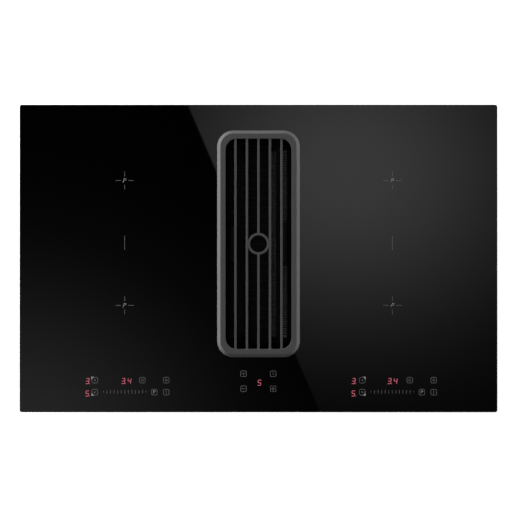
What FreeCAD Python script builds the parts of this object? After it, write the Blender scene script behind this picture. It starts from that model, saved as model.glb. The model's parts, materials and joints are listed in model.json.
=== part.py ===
import FreeCAD
import Part
import math
import os
import Sketcher
from types import SimpleNamespace

# Venting induction cooktop: a glass hob with an extractor in its middle, as an assembly of separate pieces.
# Millimetres. The origin is the centre of the hob on the worktop plane; +X right, +Y to the rear, +Z up.

SIZES = {
    # Glass top and its seal on the worktop
    "glass_width": 800,
    "glass_depth": 515,
    "glass_thickness": 4,
    "glass_corner": 4,
    "glass_chamfer": 0.8,
    "seal_thickness": 2,
    "seal_width": 8,
    "seal_inset": 1.5,
    # Intake grille
    "rear_margin": 43.5,
    "front_margin": 92.5,
    "grille_width": 138,
    "grille_corner": 27,
    "grille_frame": 13.7,
    "grille_bearing": 9,
    "grille_bevel": 5.3,
    "grille_height": 7.5,
    "bevel_angle": 45,
    "skirt_wall": 2.5,
    "skirt_depth": 5.5,
    "pad_thickness": 1,
    "pad_width": 5,
    "pad_length": 16,
    "bar_width": 3.6,
    "bar_pitch": 19.25,
    "bar_drop": 2,
    "bar_step": 0.6,
    "ring_radius": 18.1,
    "ring_bore": 14.3,
    # Suction well under the opening
    "well_seal": 1,
    "well_reveal": 2,
    "well_wall": 2.5,
    "well_chamfer": 12,
    "well_flange": 10.5,
    "well_flange_thickness": 2,
    "well_depth": 55,
    "ledge_width": 9,
    "ledge_thickness": 2,
    "ledge_drop": 14,
    # Grease filter
    "rim_gap": 4,
    "rim_thickness": 1.2,
    "sheet": 1,
    "filter_clearance": 47,
    "filter_top": 100,
    "filter_shelf": 80,
    "filter_neck": 62,
    "filter_floor": 42,
    "shelf_drop": 20,
    "floor_drop": 54,
    "slot_width": 8,
    "slot_margin": 32,
    "upper_slot": 12,
    "lower_slot": 22,
    "handle_length": 60,
    "handle_thickness": 1.5,
    # Drip tray
    "tray_width": 84,
    "tray_clearance": 12,
    "tray_height": 18,
    "tray_corner": 8,
    "tray_wall": 1.2,
    # Casing of the hob
    "casing_side_inset": 27,
    "casing_end_inset": 14.5,
    "casing_height": 52,
    "casing_wall": 1,
    "casing_flange": 4,
    "casing_hole_gap": 1,
    "vent_width": 4,
    "vent_length": 66,
    "vent_pitch": 9,
    "bead_pitch": 34,
    "bead_width": 9,
    "bead_margin": 123,
    "bead_y": 60,
    "bead_depth": 0.5,
    # Plenum under the casing
    "plenum_width": 276,
    "plenum_overlap": 31,
    "plenum_height": 60,
    "plenum_wall": 2.5,
    "plenum_corner": 25,
    "plenum_flange": 10,
    "plenum_flange_thickness": 3,
    "plenum_hole": 78,
    "support_width": 12,
    "support_x": 34,
    "support_inset": 40,
    # Blower
    "lid_thickness": 3,
    "mouth_radius": 72,
    "mouth_depth": 14,
    "scroll_radius": 122,
    "scroll_step": 20,
    "scroll_wall": 2.5,
    "scroll_flange": 10,
    "scroll_flange_thickness": 3,
    "base_height": 91,
    "tongue_x": 61,
    "outlet_left": 18,
    "outlet_inset": 28.5,
    "ear_width": 12,
    "ear_depth": 4,
    "recess_inner": 34,
    "recess_outer": 98,
    "recess_depth": 1,
    "rib_width": 5,
    "collar_flange": 3,
    "duct_width": 220,
    "duct_height": 89,
    "duct_wall": 2.5,
    "duct_length": 36,
    # Motor and impeller
    "isolator_width": 14,
    "isolator_height": 5,
    "isolator_circle": 49,
    "motor_flange_radius": 62,
    "motor_flange": 3,
    "motor_radius": 40,
    "motor_height": 45.5,
    "shaft_radius": 4,
    "shaft_play": 0.05,
    "shaft_length": 36,
    "impeller_radius": 105,
    "impeller_gap": 3.5,
    "impeller_plate": 2.5,
    "hub_radius": 46,
    "hub_wall": 2.5,
    "hub_height": 48,
    "blade_inner": 86,
    "blade_outer": 104,
    "blade_thickness": 2,
    "blade_height": 61.5,
    "blade_lead": 9,
    "blade_count": 24,
    "fan_blade": 1.4,
    "shroud_thickness": 3,
    # Blower driver
    "driver_width": 40,
    "driver_length": 100,
    "driver_height": 45,
    # Coils and what carries them
    "coil_rear_gap": 34.5,
    "coil_front_gap": 86.6,
    "coil_tray_left": 80,
    "coil_tray_gap": 5,
    "coil_tray_top": 14.5,
    "coil_tray_sheet": 1.5,
    "post_width": 10,
    "ferrite_length": 62,
    "ferrite_width": 14,
    "ferrite_thickness": 4,
    "former_edge": 2.5,
    "former_thickness": 2,
    "coil_side_gap": 44,
    "coil_gap": 23.9,
    "coil_thickness": 5,
    "sensor_width": 14,
    "sensor_gap": 1,
    "mica_edge": 9,
    "mica_thickness": 0.5,
    # Power electronics
    "board_thickness": 1.6,
    "board_gap": 7,
    "board_clearance": 20,
    "board_y": 40,
    "board_end_gap": 143,
    "standoff_width": 6,
    "standoff_inset": 8,
    "sink_gap": 35,
    "sink_height": 22,
    "sink_base": 4,
    "fin_thickness": 1.6,
    "fin_count": 14,
    "mains_side_gap": 153,
    "mains_end_gap": 78,
    "mains_width": 120,
    "mains_depth": 90,
    "terminal_side_gap": 58,
    "terminal_end_gap": 29,
    "terminal_width": 60,
    "terminal_depth": 25,
    "terminal_height": 22,
    "inlet_shift": 15,
    "inlet_end_gap": 53,
    "inlet_width": 36,
    "inlet_depth": 24,
    "inlet_height": 16,
    "inlet_slot_width": 20,
    "inlet_slot_depth": 10,
    # Cooling fans
    "cooler_side_gap": 63,
    "cooler_end_gap": 113,
    "cooler_side": 80,
    "cooler_height": 15,
    "cooler_duct": 38,
    "cooler_hub": 15,
    "cooler_blade": 36,
    "cooler_blades": 5,
    "cooler_pin": 2,
    "strut_width": 5,
    "strut_height": 3,
    # Touch controls
    "control_shift": 4,
    "control_front": 43.9,
    "control_side_gap": 56,
    "control_depth": 46,
    "control_height": 9.5,
    "control_wall": 2,
    "control_ledge": 4,
    "control_floor": 1.5,
    "control_seat": 4,
    "board_play": 0.3,
    "centre_width": 84,
    "centre_front": 52.5,
    "bridge_reach": 20,
    "bridge_front_gap": 21.5,
    "bridge_rear_gap": 81.5,
    "bridge_sheet": 1.5,
    "display_gap": 0.3,
    "contact_width": 6,
    # Fixing to the worktop
    "bracket_end_gap": 93,
    "bracket_width": 30,
    "bracket_grip": 28,
    "bracket_reach": 13,
    "bracket_hook": 10,
    "bracket_sheet": 2,
    "bracket_rise": 20,
    "screw_inset": 15,
    "screw_radius": 2,
    "screw_head_radius": 4.5,
    "screw_head": 3,
    "screw_slot": 5,
    "screw_slot_length": 11,
}

doc = FreeCAD.newDocument("venting_cooktop")
sheet = doc.addObject("Spreadsheet::Sheet", "Sizes")
for row, (alias, value) in enumerate(SIZES.items(), start=1):
    sheet.set(f"A{row}", alias)
    sheet.set(f"B{row}", str(value))
    sheet.setAlias(f"B{row}", alias)
doc.recompute()


class Size:
    """A length together with the sheet formula behind it; arithmetic keeps both in step."""

    def __init__(self, value, formula):
        self.value = float(value)
        self.formula = formula

    @staticmethod
    def of(other):
        if isinstance(other, Size):
            return other
        return Size(other, f"({float(other)!r})")

    def join(self, other, sign, value):
        return Size(value, f"({self.formula} {sign} {other.formula})")

    def __add__(self, other):
        other = Size.of(other)
        return self.join(other, "+", self.value + other.value)

    def __sub__(self, other):
        other = Size.of(other)
        return self.join(other, "-", self.value - other.value)

    def __mul__(self, other):
        other = Size.of(other)
        return self.join(other, "*", self.value * other.value)

    def __truediv__(self, other):
        other = Size.of(other)
        return self.join(other, "/", self.value / other.value)

    def __radd__(self, other):
        return Size.of(other) + self

    def __rsub__(self, other):
        return Size.of(other) - self

    def __rmul__(self, other):
        return Size.of(other) * self

    def __neg__(self):
        return Size.of(-1) * self


s = SimpleNamespace(**{alias: Size(value, f"Sizes.{alias}") for alias, value in SIZES.items()})

# Sizes that follow from others: the casing from the glass, and what it holds from the casing
s.grille_length = s.glass_depth - s.rear_margin - s.front_margin
s.well_offset = (s.front_margin - s.rear_margin) / 2
s.filter_length = s.grille_length - s.filter_clearance
slots_per_row = 16
slots_per_side = 5
s.slot_reach = (s.filter_length - s.slot_margin) / 2
s.slot_pitch = s.slot_reach * 2 / (slots_per_row - 1)
s.tray_length = s.filter_length - s.tray_clearance
s.support_y = s.tray_length / 2 - s.support_inset
s.plenum_length = s.grille_length + s.plenum_overlap
s.outlet_rear = s.well_offset + s.plenum_length / 2 - s.outlet_inset

s.casing_width = s.glass_width - s.casing_side_inset * 2
s.casing_depth = s.glass_depth - s.casing_end_inset * 2
casing_side = s.casing_width / 2
casing_end = s.casing_depth / 2
s.bracket_inner = casing_side - s.bracket_grip
s.bracket_outer = casing_side + s.bracket_reach
s.bracket_y = casing_end - s.bracket_end_gap
s.screw_x = casing_side - s.screw_inset

s.coil_tray_right = casing_side - s.coil_tray_gap
s.coil_tray_depth = s.casing_depth - s.coil_tray_gap * 2
coil_tray_width = s.coil_tray_right - s.coil_tray_left
s.zone_x = (s.coil_tray_left + s.coil_tray_right) / 2
coil_band = s.glass_depth - s.coil_rear_gap - s.coil_front_gap
s.coil_depth = (coil_band - s.coil_gap) / 2
s.zone_rear = s.glass_depth / 2 - s.coil_rear_gap - s.coil_depth / 2
s.zone_front = s.glass_depth / 2 - s.coil_front_gap - s.coil_depth / 2
zone_pitch = s.zone_rear + s.zone_front
s.coil_width = coil_tray_width - s.coil_side_gap * 2
s.coil_corner = s.coil_depth * 0.22
s.coil_bore_width = s.coil_width * 0.35
s.coil_bore_depth = s.coil_depth * 0.3
s.coil_bore_corner = s.coil_bore_depth * 0.27
s.former_width = s.coil_width + s.former_edge * 2
s.former_depth = s.coil_depth + s.former_edge * 2
s.mica_width = coil_tray_width - s.mica_edge * 2
s.mica_depth = zone_pitch + s.coil_depth + s.mica_edge * 2
s.bead_x = s.zone_x
s.bead_length = s.casing_depth - s.bead_margin * 2

s.cooler_x = casing_side - s.cooler_side_gap
s.cooler_y = casing_end - s.cooler_end_gap
s.board_width = s.cooler_x - s.cooler_side / 2 - s.coil_tray_left - s.board_clearance
s.board_depth = s.casing_depth - s.board_end_gap * 2
s.board_x = s.coil_tray_left + s.board_width / 2
s.sink_width = s.board_width - s.sink_gap * 2
s.sink_depth = s.board_depth * 0.3
s.fin_pitch = (s.sink_width - s.fin_thickness * 5) / s.fin_count
s.mains_x = casing_side - s.mains_side_gap
s.mains_y = casing_end - s.mains_end_gap
s.terminal_x = casing_side - s.terminal_side_gap
s.terminal_y = casing_end - s.terminal_end_gap
s.inlet_x = s.terminal_x - s.inlet_shift
s.inlet_y = casing_end - s.inlet_end_gap

s.control_x = s.zone_x
s.control_y = s.glass_depth / 2 - s.control_front
s.control_width = coil_tray_width - s.control_side_gap * 2
s.centre_y = s.glass_depth / 2 - s.centre_front
s.bridge_front = s.glass_depth / 2 - s.bridge_front_gap
s.bridge_rear = s.glass_depth / 2 - s.bridge_rear_gap


def bind(target, path, size):
    """Ties a property to the sheet."""
    target.setExpression(path, Size.of(size).formula)


def measure(sketch, kind, where, size):
    """Adds a sketch dimension that follows the sheet."""
    size = Size.of(size)
    index = sketch.addConstraint(Sketcher.Constraint(kind, *where, size.value))
    sketch.setExpression(f"Constraints[{index}]", size.formula)


def relate(sketch, kind, *where):
    sketch.addConstraint(Sketcher.Constraint(kind, *where))


def pin(sketch, element, end, x, y):
    """Fixes a sketch point by its distances from the sketch origin."""
    measure(sketch, "DistanceX", (-1, 1, element, end), x)
    measure(sketch, "DistanceY", (-1, 1, element, end), y)


def flat(x, y):
    return FreeCAD.Vector(Size.of(x).value, Size.of(y).value, 0)


def polygon(sketch, corners):
    """A closed outline through the given corners."""
    points = [flat(x, y) for x, y in corners]
    count = len(points)
    lines = [
        sketch.addGeometry(Part.LineSegment(points[i], points[(i + 1) % count])) for i in range(count)
    ]
    for i in range(count):
        relate(sketch, "Coincident", lines[i], 2, lines[(i + 1) % count], 1)
    for line, (x, y) in zip(lines, corners):
        pin(sketch, line, 1, x, y)


def rectangle(sketch, width, depth, x=0, y=0):
    """A rectangle about the point x, y."""
    left, right = x - width / 2, x + width / 2
    front, rear = y - depth / 2, y + depth / 2
    points = [flat(left, front), flat(right, front), flat(right, rear), flat(left, rear)]
    lines = [sketch.addGeometry(Part.LineSegment(points[i], points[(i + 1) % 4])) for i in range(4)]
    for i in range(4):
        relate(sketch, "Coincident", lines[i], 2, lines[(i + 1) % 4], 1)
    for i in (0, 2):
        relate(sketch, "Horizontal", lines[i])
        relate(sketch, "Vertical", lines[i + 1])
    pin(sketch, lines[0], 1, left, front)
    pin(sketch, lines[2], 1, right, rear)


def rounded(sketch, width, depth, corner, x=0, y=0):
    """A rectangle with rounded corners about the point x, y."""
    left, right = Size.of(x - width / 2), Size.of(x + width / 2)
    front, rear = Size.of(y - depth / 2), Size.of(y + depth / 2)
    radius = Size.of(corner).value
    x0, x1, y0, y1 = left.value, right.value, front.value, rear.value
    sides = [
        (flat(x0 + radius, y0), flat(x1 - radius, y0)),
        (flat(x1, y0 + radius), flat(x1, y1 - radius)),
        (flat(x1 - radius, y1), flat(x0 + radius, y1)),
        (flat(x0, y1 - radius), flat(x0, y0 + radius)),
    ]
    centres = [
        flat(x1 - radius, y0 + radius),
        flat(x1 - radius, y1 - radius),
        flat(x0 + radius, y1 - radius),
        flat(x0 + radius, y0 + radius),
    ]
    up = FreeCAD.Vector(0, 0, 1)
    lines = []
    arcs = []
    for i in range(4):
        lines.append(sketch.addGeometry(Part.LineSegment(*sides[i])))
        start = math.pi / 2 * (i - 1)
        circle_of_corner = Part.Circle(centres[i], up, radius)
        arcs.append(sketch.addGeometry(Part.ArcOfCircle(circle_of_corner, start, start + math.pi / 2)))
    for i in range(4):
        relate(sketch, "Tangent", lines[i], 2, arcs[i], 1)
        relate(sketch, "Tangent", arcs[i], 2, lines[(i + 1) % 4], 1)
    for i in (0, 2):
        relate(sketch, "Horizontal", lines[i])
        relate(sketch, "Vertical", lines[i + 1])
    for i in (1, 2, 3):
        relate(sketch, "Equal", arcs[0], arcs[i])
    measure(sketch, "Radius", (arcs[0],), corner)
    measure(sketch, "DistanceY", (-1, 1, lines[0], 1), front)
    measure(sketch, "DistanceX", (-1, 1, lines[1], 1), right)
    measure(sketch, "DistanceY", (-1, 1, lines[2], 1), rear)
    measure(sketch, "DistanceX", (-1, 1, lines[3], 1), left)


def chamfered(sketch, width, depth, corner, x=0, y=0):
    """A rectangle with its corners cut off, about the point x, y."""
    left, right = x - width / 2, x + width / 2
    front, rear = y - depth / 2, y + depth / 2
    polygon(
        sketch,
        [
            (left + corner, front),
            (right - corner, front),
            (right, front + corner),
            (right, rear - corner),
            (right - corner, rear),
            (left + corner, rear),
            (left, rear - corner),
            (left, front + corner),
        ],
    )


def regular(sketch, radius, sides, x=0, y=0, start=0):
    """A regular polygon about the point x, y, by the radius to its corners."""
    turns = [start + math.pi * 2 / sides * i for i in range(sides)]
    polygon(sketch, [(x + radius * math.cos(turn), y + radius * math.sin(turn)) for turn in turns])


def circle(sketch, radius, x=0, y=0):
    size = Size.of(radius)
    ring = sketch.addGeometry(Part.Circle(flat(x, y), FreeCAD.Vector(0, 0, 1), size.value))
    measure(sketch, "Radius", (ring,), size)
    pin(sketch, ring, 3, x, y)


pieces = []
cuts = []


class Piece:
    """One physical piece: a body whose features follow the sheet."""

    def __init__(self, label, x=0, y=0, z=0):
        self.body = doc.addObject("PartDesign::Body", label)
        self.body.Label = label
        for axis, distance in (("x", x), ("y", y), ("z", z)):
            if isinstance(distance, Size):
                bind(self.body, f"Placement.Base.{axis}", distance)
        pieces.append(self.body)

    def origin(self, role):
        return next(feature for feature in self.body.Origin.OriginFeatures if feature.Role == role)

    def sketch(self, z=0, role="XY_Plane"):
        made = self.body.newObject("Sketcher::SketchObject", "outline")
        made.AttachmentSupport = [(self.origin(role), "")]
        made.MapMode = "FlatFace"
        if isinstance(z, Size):
            bind(made, "AttachmentOffset.Base.z", z)
        return made

    def pad(self, sketch, height, taper=None, both=False):
        made = self.body.newObject("PartDesign::Pad", "solid")
        made.Profile = sketch
        bind(made, "Length", height)
        if taper is not None:
            bind(made, "TaperAngle", taper)
        if both:
            made.SideType = "Symmetric"
        return made

    def cut(self, sketch, height, both=False):
        made = self.body.newObject("PartDesign::Pocket", "hollow")
        made.Profile = sketch
        bind(made, "Length", height)
        if both:
            made.SideType = "Symmetric"
        else:
            made.Reversed = True
        cuts.append(made)
        return made

    def row(self, feature, role, pitch, count):
        made = self.body.newObject("PartDesign::LinearPattern", "row")
        made.Originals = [feature]
        made.Direction = (self.origin(role), [""])
        made.Mode = "Spacing"
        bind(made, "Offset", pitch)
        bind(made, "Occurrences", count)
        self.body.Tip = made

    def around(self, feature, count):
        made = self.body.newObject("PartDesign::PolarPattern", "circle")
        made.Originals = [feature]
        made.Axis = (self.origin("Z_Axis"), [""])
        made.Angle = 360
        bind(made, "Occurrences", count)
        self.body.Tip = made


def block(label, width, depth, z, height, x=0, y=0):
    """A plain plate or box."""
    piece = Piece(label)
    sketch = piece.sketch(z)
    rectangle(sketch, width, depth, x, y)
    piece.pad(sketch, height)
    return piece


def pins(label, radius, z, height, places):
    """A group of equal round pieces."""
    piece = Piece(label)
    sketch = piece.sketch(z)
    for x, y in places:
        circle(sketch, radius, x, y)
    piece.pad(sketch, height)
    return piece


def posts(label, width, z, height, places):
    """A group of equal square pieces."""
    piece = Piece(label)
    sketch = piece.sketch(z)
    for x, y in places:
        rectangle(sketch, width, width, x, y)
    piece.pad(sketch, height)
    return piece


both_sides = (("left", -1), ("right", 1))

# Levels
glass_bottom = s.seal_thickness
glass_top = glass_bottom + s.glass_thickness
grille_bottom = glass_top + s.pad_thickness
grille_top = grille_bottom + s.grille_height
well_top = glass_bottom - s.well_seal
ledge_top = glass_top - s.ledge_drop
casing_bottom = glass_bottom - s.casing_height
casing_floor = casing_bottom + s.casing_wall
plenum_bottom = casing_bottom - s.plenum_height
plenum_floor = plenum_bottom + s.plenum_wall
lid_bottom = plenum_bottom - s.lid_thickness
base_bottom = lid_bottom - s.base_height
base_floor = base_bottom + s.scroll_wall

# Opening in the glass, from the grille that covers it
cutout_width = s.grille_width - s.grille_bearing * 2
cutout_length = s.grille_length - s.grille_bearing * 2
cutout_corner = s.grille_corner - s.grille_bearing
opening_width = s.grille_width - s.grille_frame * 2
opening_length = s.grille_length - s.grille_frame * 2
opening_corner = s.grille_corner - s.grille_frame

# Glass panel with a polished bevel round its top edge
glass = Piece("glass_panel")
sketch = glass.sketch(glass_bottom)
rounded(sketch, s.glass_width, s.glass_depth, s.glass_corner)
rounded(sketch, cutout_width, cutout_length, cutout_corner, 0, s.well_offset)
glass.pad(sketch, s.glass_thickness - s.glass_chamfer)
sketch = glass.sketch(glass_top - s.glass_chamfer)
rounded(sketch, s.glass_width, s.glass_depth, s.glass_corner)
glass.pad(sketch, s.glass_chamfer, taper=-s.bevel_angle)
sketch = glass.sketch(glass_top - s.glass_chamfer)
rounded(sketch, cutout_width, cutout_length, cutout_corner, 0, s.well_offset)
glass.cut(sketch, s.glass_chamfer)

# Foam seal between the glass and the worktop
seal_width = s.glass_width - s.seal_inset * 2
seal_depth = s.glass_depth - s.seal_inset * 2
worktop_seal = Piece("worktop_seal")
sketch = worktop_seal.sketch()
chamfered(sketch, seal_width, seal_depth, s.glass_corner / 2)
rectangle(sketch, seal_width - s.seal_width * 2, seal_depth - s.seal_width * 2)
worktop_seal.pad(sketch, s.seal_thickness)

# Suction well: a flanged tube under the opening with a ledge for the filter
well_inner_width = cutout_width + s.well_reveal * 2
well_inner_length = cutout_length + s.well_reveal * 2
well_inner_corner = cutout_corner + s.well_reveal
well_width = well_inner_width + s.well_wall * 2
well_length = well_inner_length + s.well_wall * 2
flange_width = well_width + s.well_flange * 2
flange_length = well_length + s.well_flange * 2
flange_chamfer = s.well_chamfer + s.well_flange / 2
well_bottom = well_top - s.well_depth

well_seal = Piece("well_seal")
sketch = well_seal.sketch(well_top)
seal_inner_width = well_inner_width + s.well_reveal
seal_inner_length = well_inner_length + s.well_reveal
chamfered(sketch, flange_width, flange_length, flange_chamfer, 0, s.well_offset)
chamfered(sketch, seal_inner_width, seal_inner_length, s.well_chamfer, 0, s.well_offset)
well_seal.pad(sketch, s.well_seal)

well = Piece("suction_well")
sketch = well.sketch(well_bottom)
chamfered(sketch, well_width, well_length, s.well_chamfer, 0, s.well_offset)
well.pad(sketch, s.well_depth)
sketch = well.sketch(well_top - s.well_flange_thickness)
chamfered(sketch, flange_width, flange_length, flange_chamfer, 0, s.well_offset)
well.pad(sketch, s.well_flange_thickness)
sketch = well.sketch(ledge_top)
rounded(sketch, well_inner_width, well_inner_length, well_inner_corner, 0, s.well_offset)
well.cut(sketch, well_top - ledge_top)
sketch = well.sketch(well_bottom)
rounded(sketch, well_inner_width, well_inner_length, well_inner_corner, 0, s.well_offset)
well.cut(sketch, ledge_top - s.ledge_thickness - well_bottom)
sketch = well.sketch(well_bottom)
rounded(
    sketch,
    well_inner_width - s.ledge_width * 2,
    well_inner_length - s.ledge_width * 2,
    well_inner_corner - s.ledge_width,
    0,
    s.well_offset,
)
well.cut(sketch, s.well_depth)

# Intake grille: bevelled frame, locating skirt, five bars and the finger ring
grille = Piece("intake_grille", 0, s.well_offset)
sketch = grille.sketch(grille_bottom)
rounded(sketch, s.grille_width, s.grille_length, s.grille_corner)
grille.pad(sketch, s.grille_height - s.grille_bevel)
sketch = grille.sketch(grille_top - s.grille_bevel)
rounded(sketch, s.grille_width, s.grille_length, s.grille_corner)
grille.pad(sketch, s.grille_bevel, taper=-s.bevel_angle)
sketch = grille.sketch(grille_bottom - s.skirt_depth)
rounded(
    sketch,
    opening_width + s.skirt_wall * 2,
    opening_length + s.skirt_wall * 2,
    opening_corner + s.skirt_wall,
)
grille.pad(sketch, s.skirt_depth)
sketch = grille.sketch(grille_bottom - s.skirt_depth)
rounded(sketch, opening_width, opening_length, opening_corner)
grille.cut(sketch, s.skirt_depth + s.grille_height)
bar_bottom = grille_bottom - s.bar_drop
bar_height = s.grille_height + s.bar_drop - s.bar_step
sketch = grille.sketch(bar_bottom)
for step in (-2, -1, 0, 1, 2):
    rectangle(sketch, s.bar_width, opening_length + s.skirt_wall, s.bar_pitch * step)
grille.pad(sketch, bar_height)
sketch = grille.sketch(bar_bottom)
circle(sketch, s.ring_radius)
grille.pad(sketch, bar_height)
sketch = grille.sketch(bar_bottom)
circle(sketch, s.ring_bore)
grille.cut(sketch, bar_height)

# Silicone pads between the grille and the glass
pads = Piece("grille_pads", 0, s.well_offset)
sketch = pads.sketch(glass_top)
pad_x = s.grille_width / 2 - s.grille_bearing / 2
for side in (-1, 1):
    for place in (-1, 0, 1):
        rectangle(sketch, s.pad_width, s.pad_length, pad_x * side, s.grille_length / 3 * place)
pads.pad(sketch, s.pad_thickness)

# Grease filter: a stepped trough hung by its rim, slotted along both steps
grease = Piece("grease_filter", 0, s.well_offset)
shelf_z = ledge_top - s.shelf_drop
trough_z = ledge_top - s.floor_drop
rim_width = well_inner_width - s.rim_gap * 2
rim_length = well_inner_length - s.rim_gap * 2


def trough(sketch, inset, top):
    """Stepped section of the filter, moved inwards by the sheet thickness."""
    floor = trough_z + inset
    shelf = shelf_z + inset
    half = [
        (s.filter_floor / 2 - inset, floor),
        (s.filter_neck / 2 - inset, shelf),
        (s.filter_shelf / 2 - inset, shelf),
        (s.filter_top / 2 - inset, top),
    ]
    polygon(sketch, half + [(-x, z) for x, z in reversed(half)])


sketch = grease.sketch(0, "XZ_Plane")
trough(sketch, Size.of(0), ledge_top)
grease.pad(sketch, s.filter_length, both=True)
sketch = grease.sketch(ledge_top)
chamfered(sketch, rim_width, rim_length, s.well_chamfer - s.rim_gap / 2)
grease.pad(sketch, s.rim_thickness)
sketch = grease.sketch(0, "XZ_Plane")
trough(sketch, s.sheet, ledge_top + s.rim_thickness)
grease.cut(sketch, s.filter_length - s.sheet * 2, both=True)
sketch = grease.sketch(0, "YZ_Plane")
upper_z = ledge_top - s.shelf_drop / 2 - s.sheet
rectangle(sketch, s.slot_width, s.upper_slot, -s.slot_reach, upper_z)
rectangle(sketch, s.slot_width, s.upper_slot, s.slot_reach - s.slot_pitch * (slots_per_side - 1), upper_z)
upper_slots = grease.cut(sketch, s.filter_top * 1.2, both=True)
grease.row(upper_slots, "Y_Axis", s.slot_pitch, slots_per_side)
sketch = grease.sketch(0, "YZ_Plane")
lower_z = (shelf_z + trough_z) / 2
rectangle(sketch, s.slot_width, s.lower_slot, -s.slot_reach, lower_z)
lower_slots = grease.cut(sketch, s.filter_top, both=True)
grease.row(lower_slots, "Y_Axis", s.slot_pitch, slots_per_row)

# Handles: folded grips on the upper step of the filter
grips = Piece("filter_handles", 0, s.well_offset)
wall_x = s.filter_shelf / 2 - s.sheet
wall_z = shelf_z + s.sheet
inner_rise = ledge_top + s.rim_thickness - wall_z
inner_run = (s.filter_top - s.filter_shelf) / 2
low = 0.15
high = 0.85
thick = s.handle_thickness
for side in (-1, 1):
    sketch = grips.sketch(0, "XZ_Plane")
    corners = [
        (wall_x + inner_run * low, wall_z + inner_rise * low),
        (wall_x + inner_run * high, wall_z + inner_rise * high),
        (wall_x + inner_run * high - thick * 5, wall_z + inner_rise * high),
        (wall_x + inner_run * high - thick * 5, wall_z + inner_rise * high - thick),
        (wall_x + inner_run * high - thick * 1.7, wall_z + inner_rise * high - thick),
        (wall_x + inner_run * low - thick, wall_z + inner_rise * low),
    ]
    polygon(sketch, [(x * side, z) for x, z in corners])
    grips.pad(sketch, s.handle_length, both=True)

# Drip tray on the plenum's posts
tray_top = trough_z - 6
tray_bottom = tray_top - s.tray_height
drip = Piece("drip_tray", 0, s.well_offset)
sketch = drip.sketch(tray_bottom)
chamfered(sketch, s.tray_width, s.tray_length, s.tray_corner)
drip.pad(sketch, s.tray_height)
sketch = drip.sketch(tray_bottom + s.tray_wall)
chamfered(
    sketch,
    s.tray_width - s.tray_wall * 2,
    s.tray_length - s.tray_wall * 2,
    s.tray_corner - s.tray_wall / 2,
)
drip.cut(sketch, s.tray_height - s.tray_wall)

# Casing: a folded sheet-steel tray with an outward flange, vents under the cooling fans and fixing slots
casing = Piece("hob_casing")
sketch = casing.sketch(casing_bottom)
rectangle(sketch, s.casing_width, s.casing_depth)
casing.pad(sketch, s.casing_height)
sketch = casing.sketch(glass_bottom - s.casing_wall)
chamfered(
    sketch,
    s.casing_width + s.casing_flange * 2,
    s.casing_depth + s.casing_flange * 2,
    s.casing_flange,
)
casing.pad(sketch, s.casing_wall)
sketch = casing.sketch(casing_floor)
rectangle(sketch, s.casing_width - s.casing_wall * 2, s.casing_depth - s.casing_wall * 2)
casing.cut(sketch, s.casing_height - s.casing_wall)
sketch = casing.sketch(casing_bottom)
hole_width = well_width + s.casing_hole_gap * 2
hole_length = well_length + s.casing_hole_gap * 2
chamfered(sketch, hole_width, hole_length, s.well_chamfer, 0, s.well_offset)
bracket_places = [(s.screw_x * side, s.bracket_y * end) for side in (-1, 1) for end in (-1, 1)]
for x, y in bracket_places:
    rectangle(sketch, s.screw_slot_length, s.screw_slot, x, y)
rectangle(sketch, s.inlet_slot_width, s.inlet_slot_depth, s.inlet_x, s.inlet_y)
for side in (-1, 1):
    for step in (-3, -2, -1, 0, 1, 2, 3):
        rectangle(
            sketch, s.vent_width, s.vent_length, s.cooler_x * side + s.vent_pitch * step, -s.cooler_y
        )
casing.cut(sketch, s.casing_wall)
sketch = casing.sketch(casing_bottom)
for side in (-1, 1):
    for step in (-1, 0, 1):
        rectangle(
            sketch, s.bead_width, s.bead_length, s.bead_x * side + s.bead_pitch * step, s.bead_y
        )
casing.cut(sketch, s.bead_depth)

# Brackets that hook under the worktop, and their screws
brackets = Piece("worktop_brackets")
bracket_top = casing_bottom
for side in (-1, 1):
    sketch = brackets.sketch(0, "XZ_Plane")
    hook_x = s.bracket_outer + s.bracket_hook
    hook_z = bracket_top + s.bracket_rise
    corners = [
        (s.bracket_inner, bracket_top - s.bracket_sheet),
        (s.bracket_outer, bracket_top - s.bracket_sheet),
        (s.bracket_outer, hook_z - s.bracket_sheet),
        (hook_x, hook_z - s.bracket_sheet),
        (hook_x, hook_z),
        (s.bracket_outer - s.bracket_sheet, hook_z),
        (s.bracket_outer - s.bracket_sheet, bracket_top),
        (s.bracket_inner, bracket_top),
    ]
    polygon(sketch, [(x * side, z) for x, z in corners])
    brackets.pad(sketch, s.bracket_y * 2 + s.bracket_width, both=True)
sketch = brackets.sketch(0, "YZ_Plane")
rectangle(sketch, s.bracket_y * 2 - s.bracket_width, s.bracket_rise * 3, 0, bracket_top)
brackets.cut(sketch, s.glass_width, both=True)
sketch = brackets.sketch(bracket_top - s.bracket_sheet)
for x, y in bracket_places:
    rectangle(sketch, s.screw_slot_length, s.screw_slot, x, y)
brackets.cut(sketch, s.bracket_sheet)

screws = Piece("bracket_screws")
sketch = screws.sketch(bracket_top - s.bracket_sheet - s.screw_head)
for x, y in bracket_places:
    regular(sketch, s.screw_head_radius, 6, x, y)
screws.pad(sketch, s.screw_head)
sketch = screws.sketch(bracket_top - s.bracket_sheet)
for x, y in bracket_places:
    regular(sketch, s.screw_radius, 6, x, y)
screws.pad(sketch, s.bracket_sheet + s.casing_wall * 3)

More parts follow.
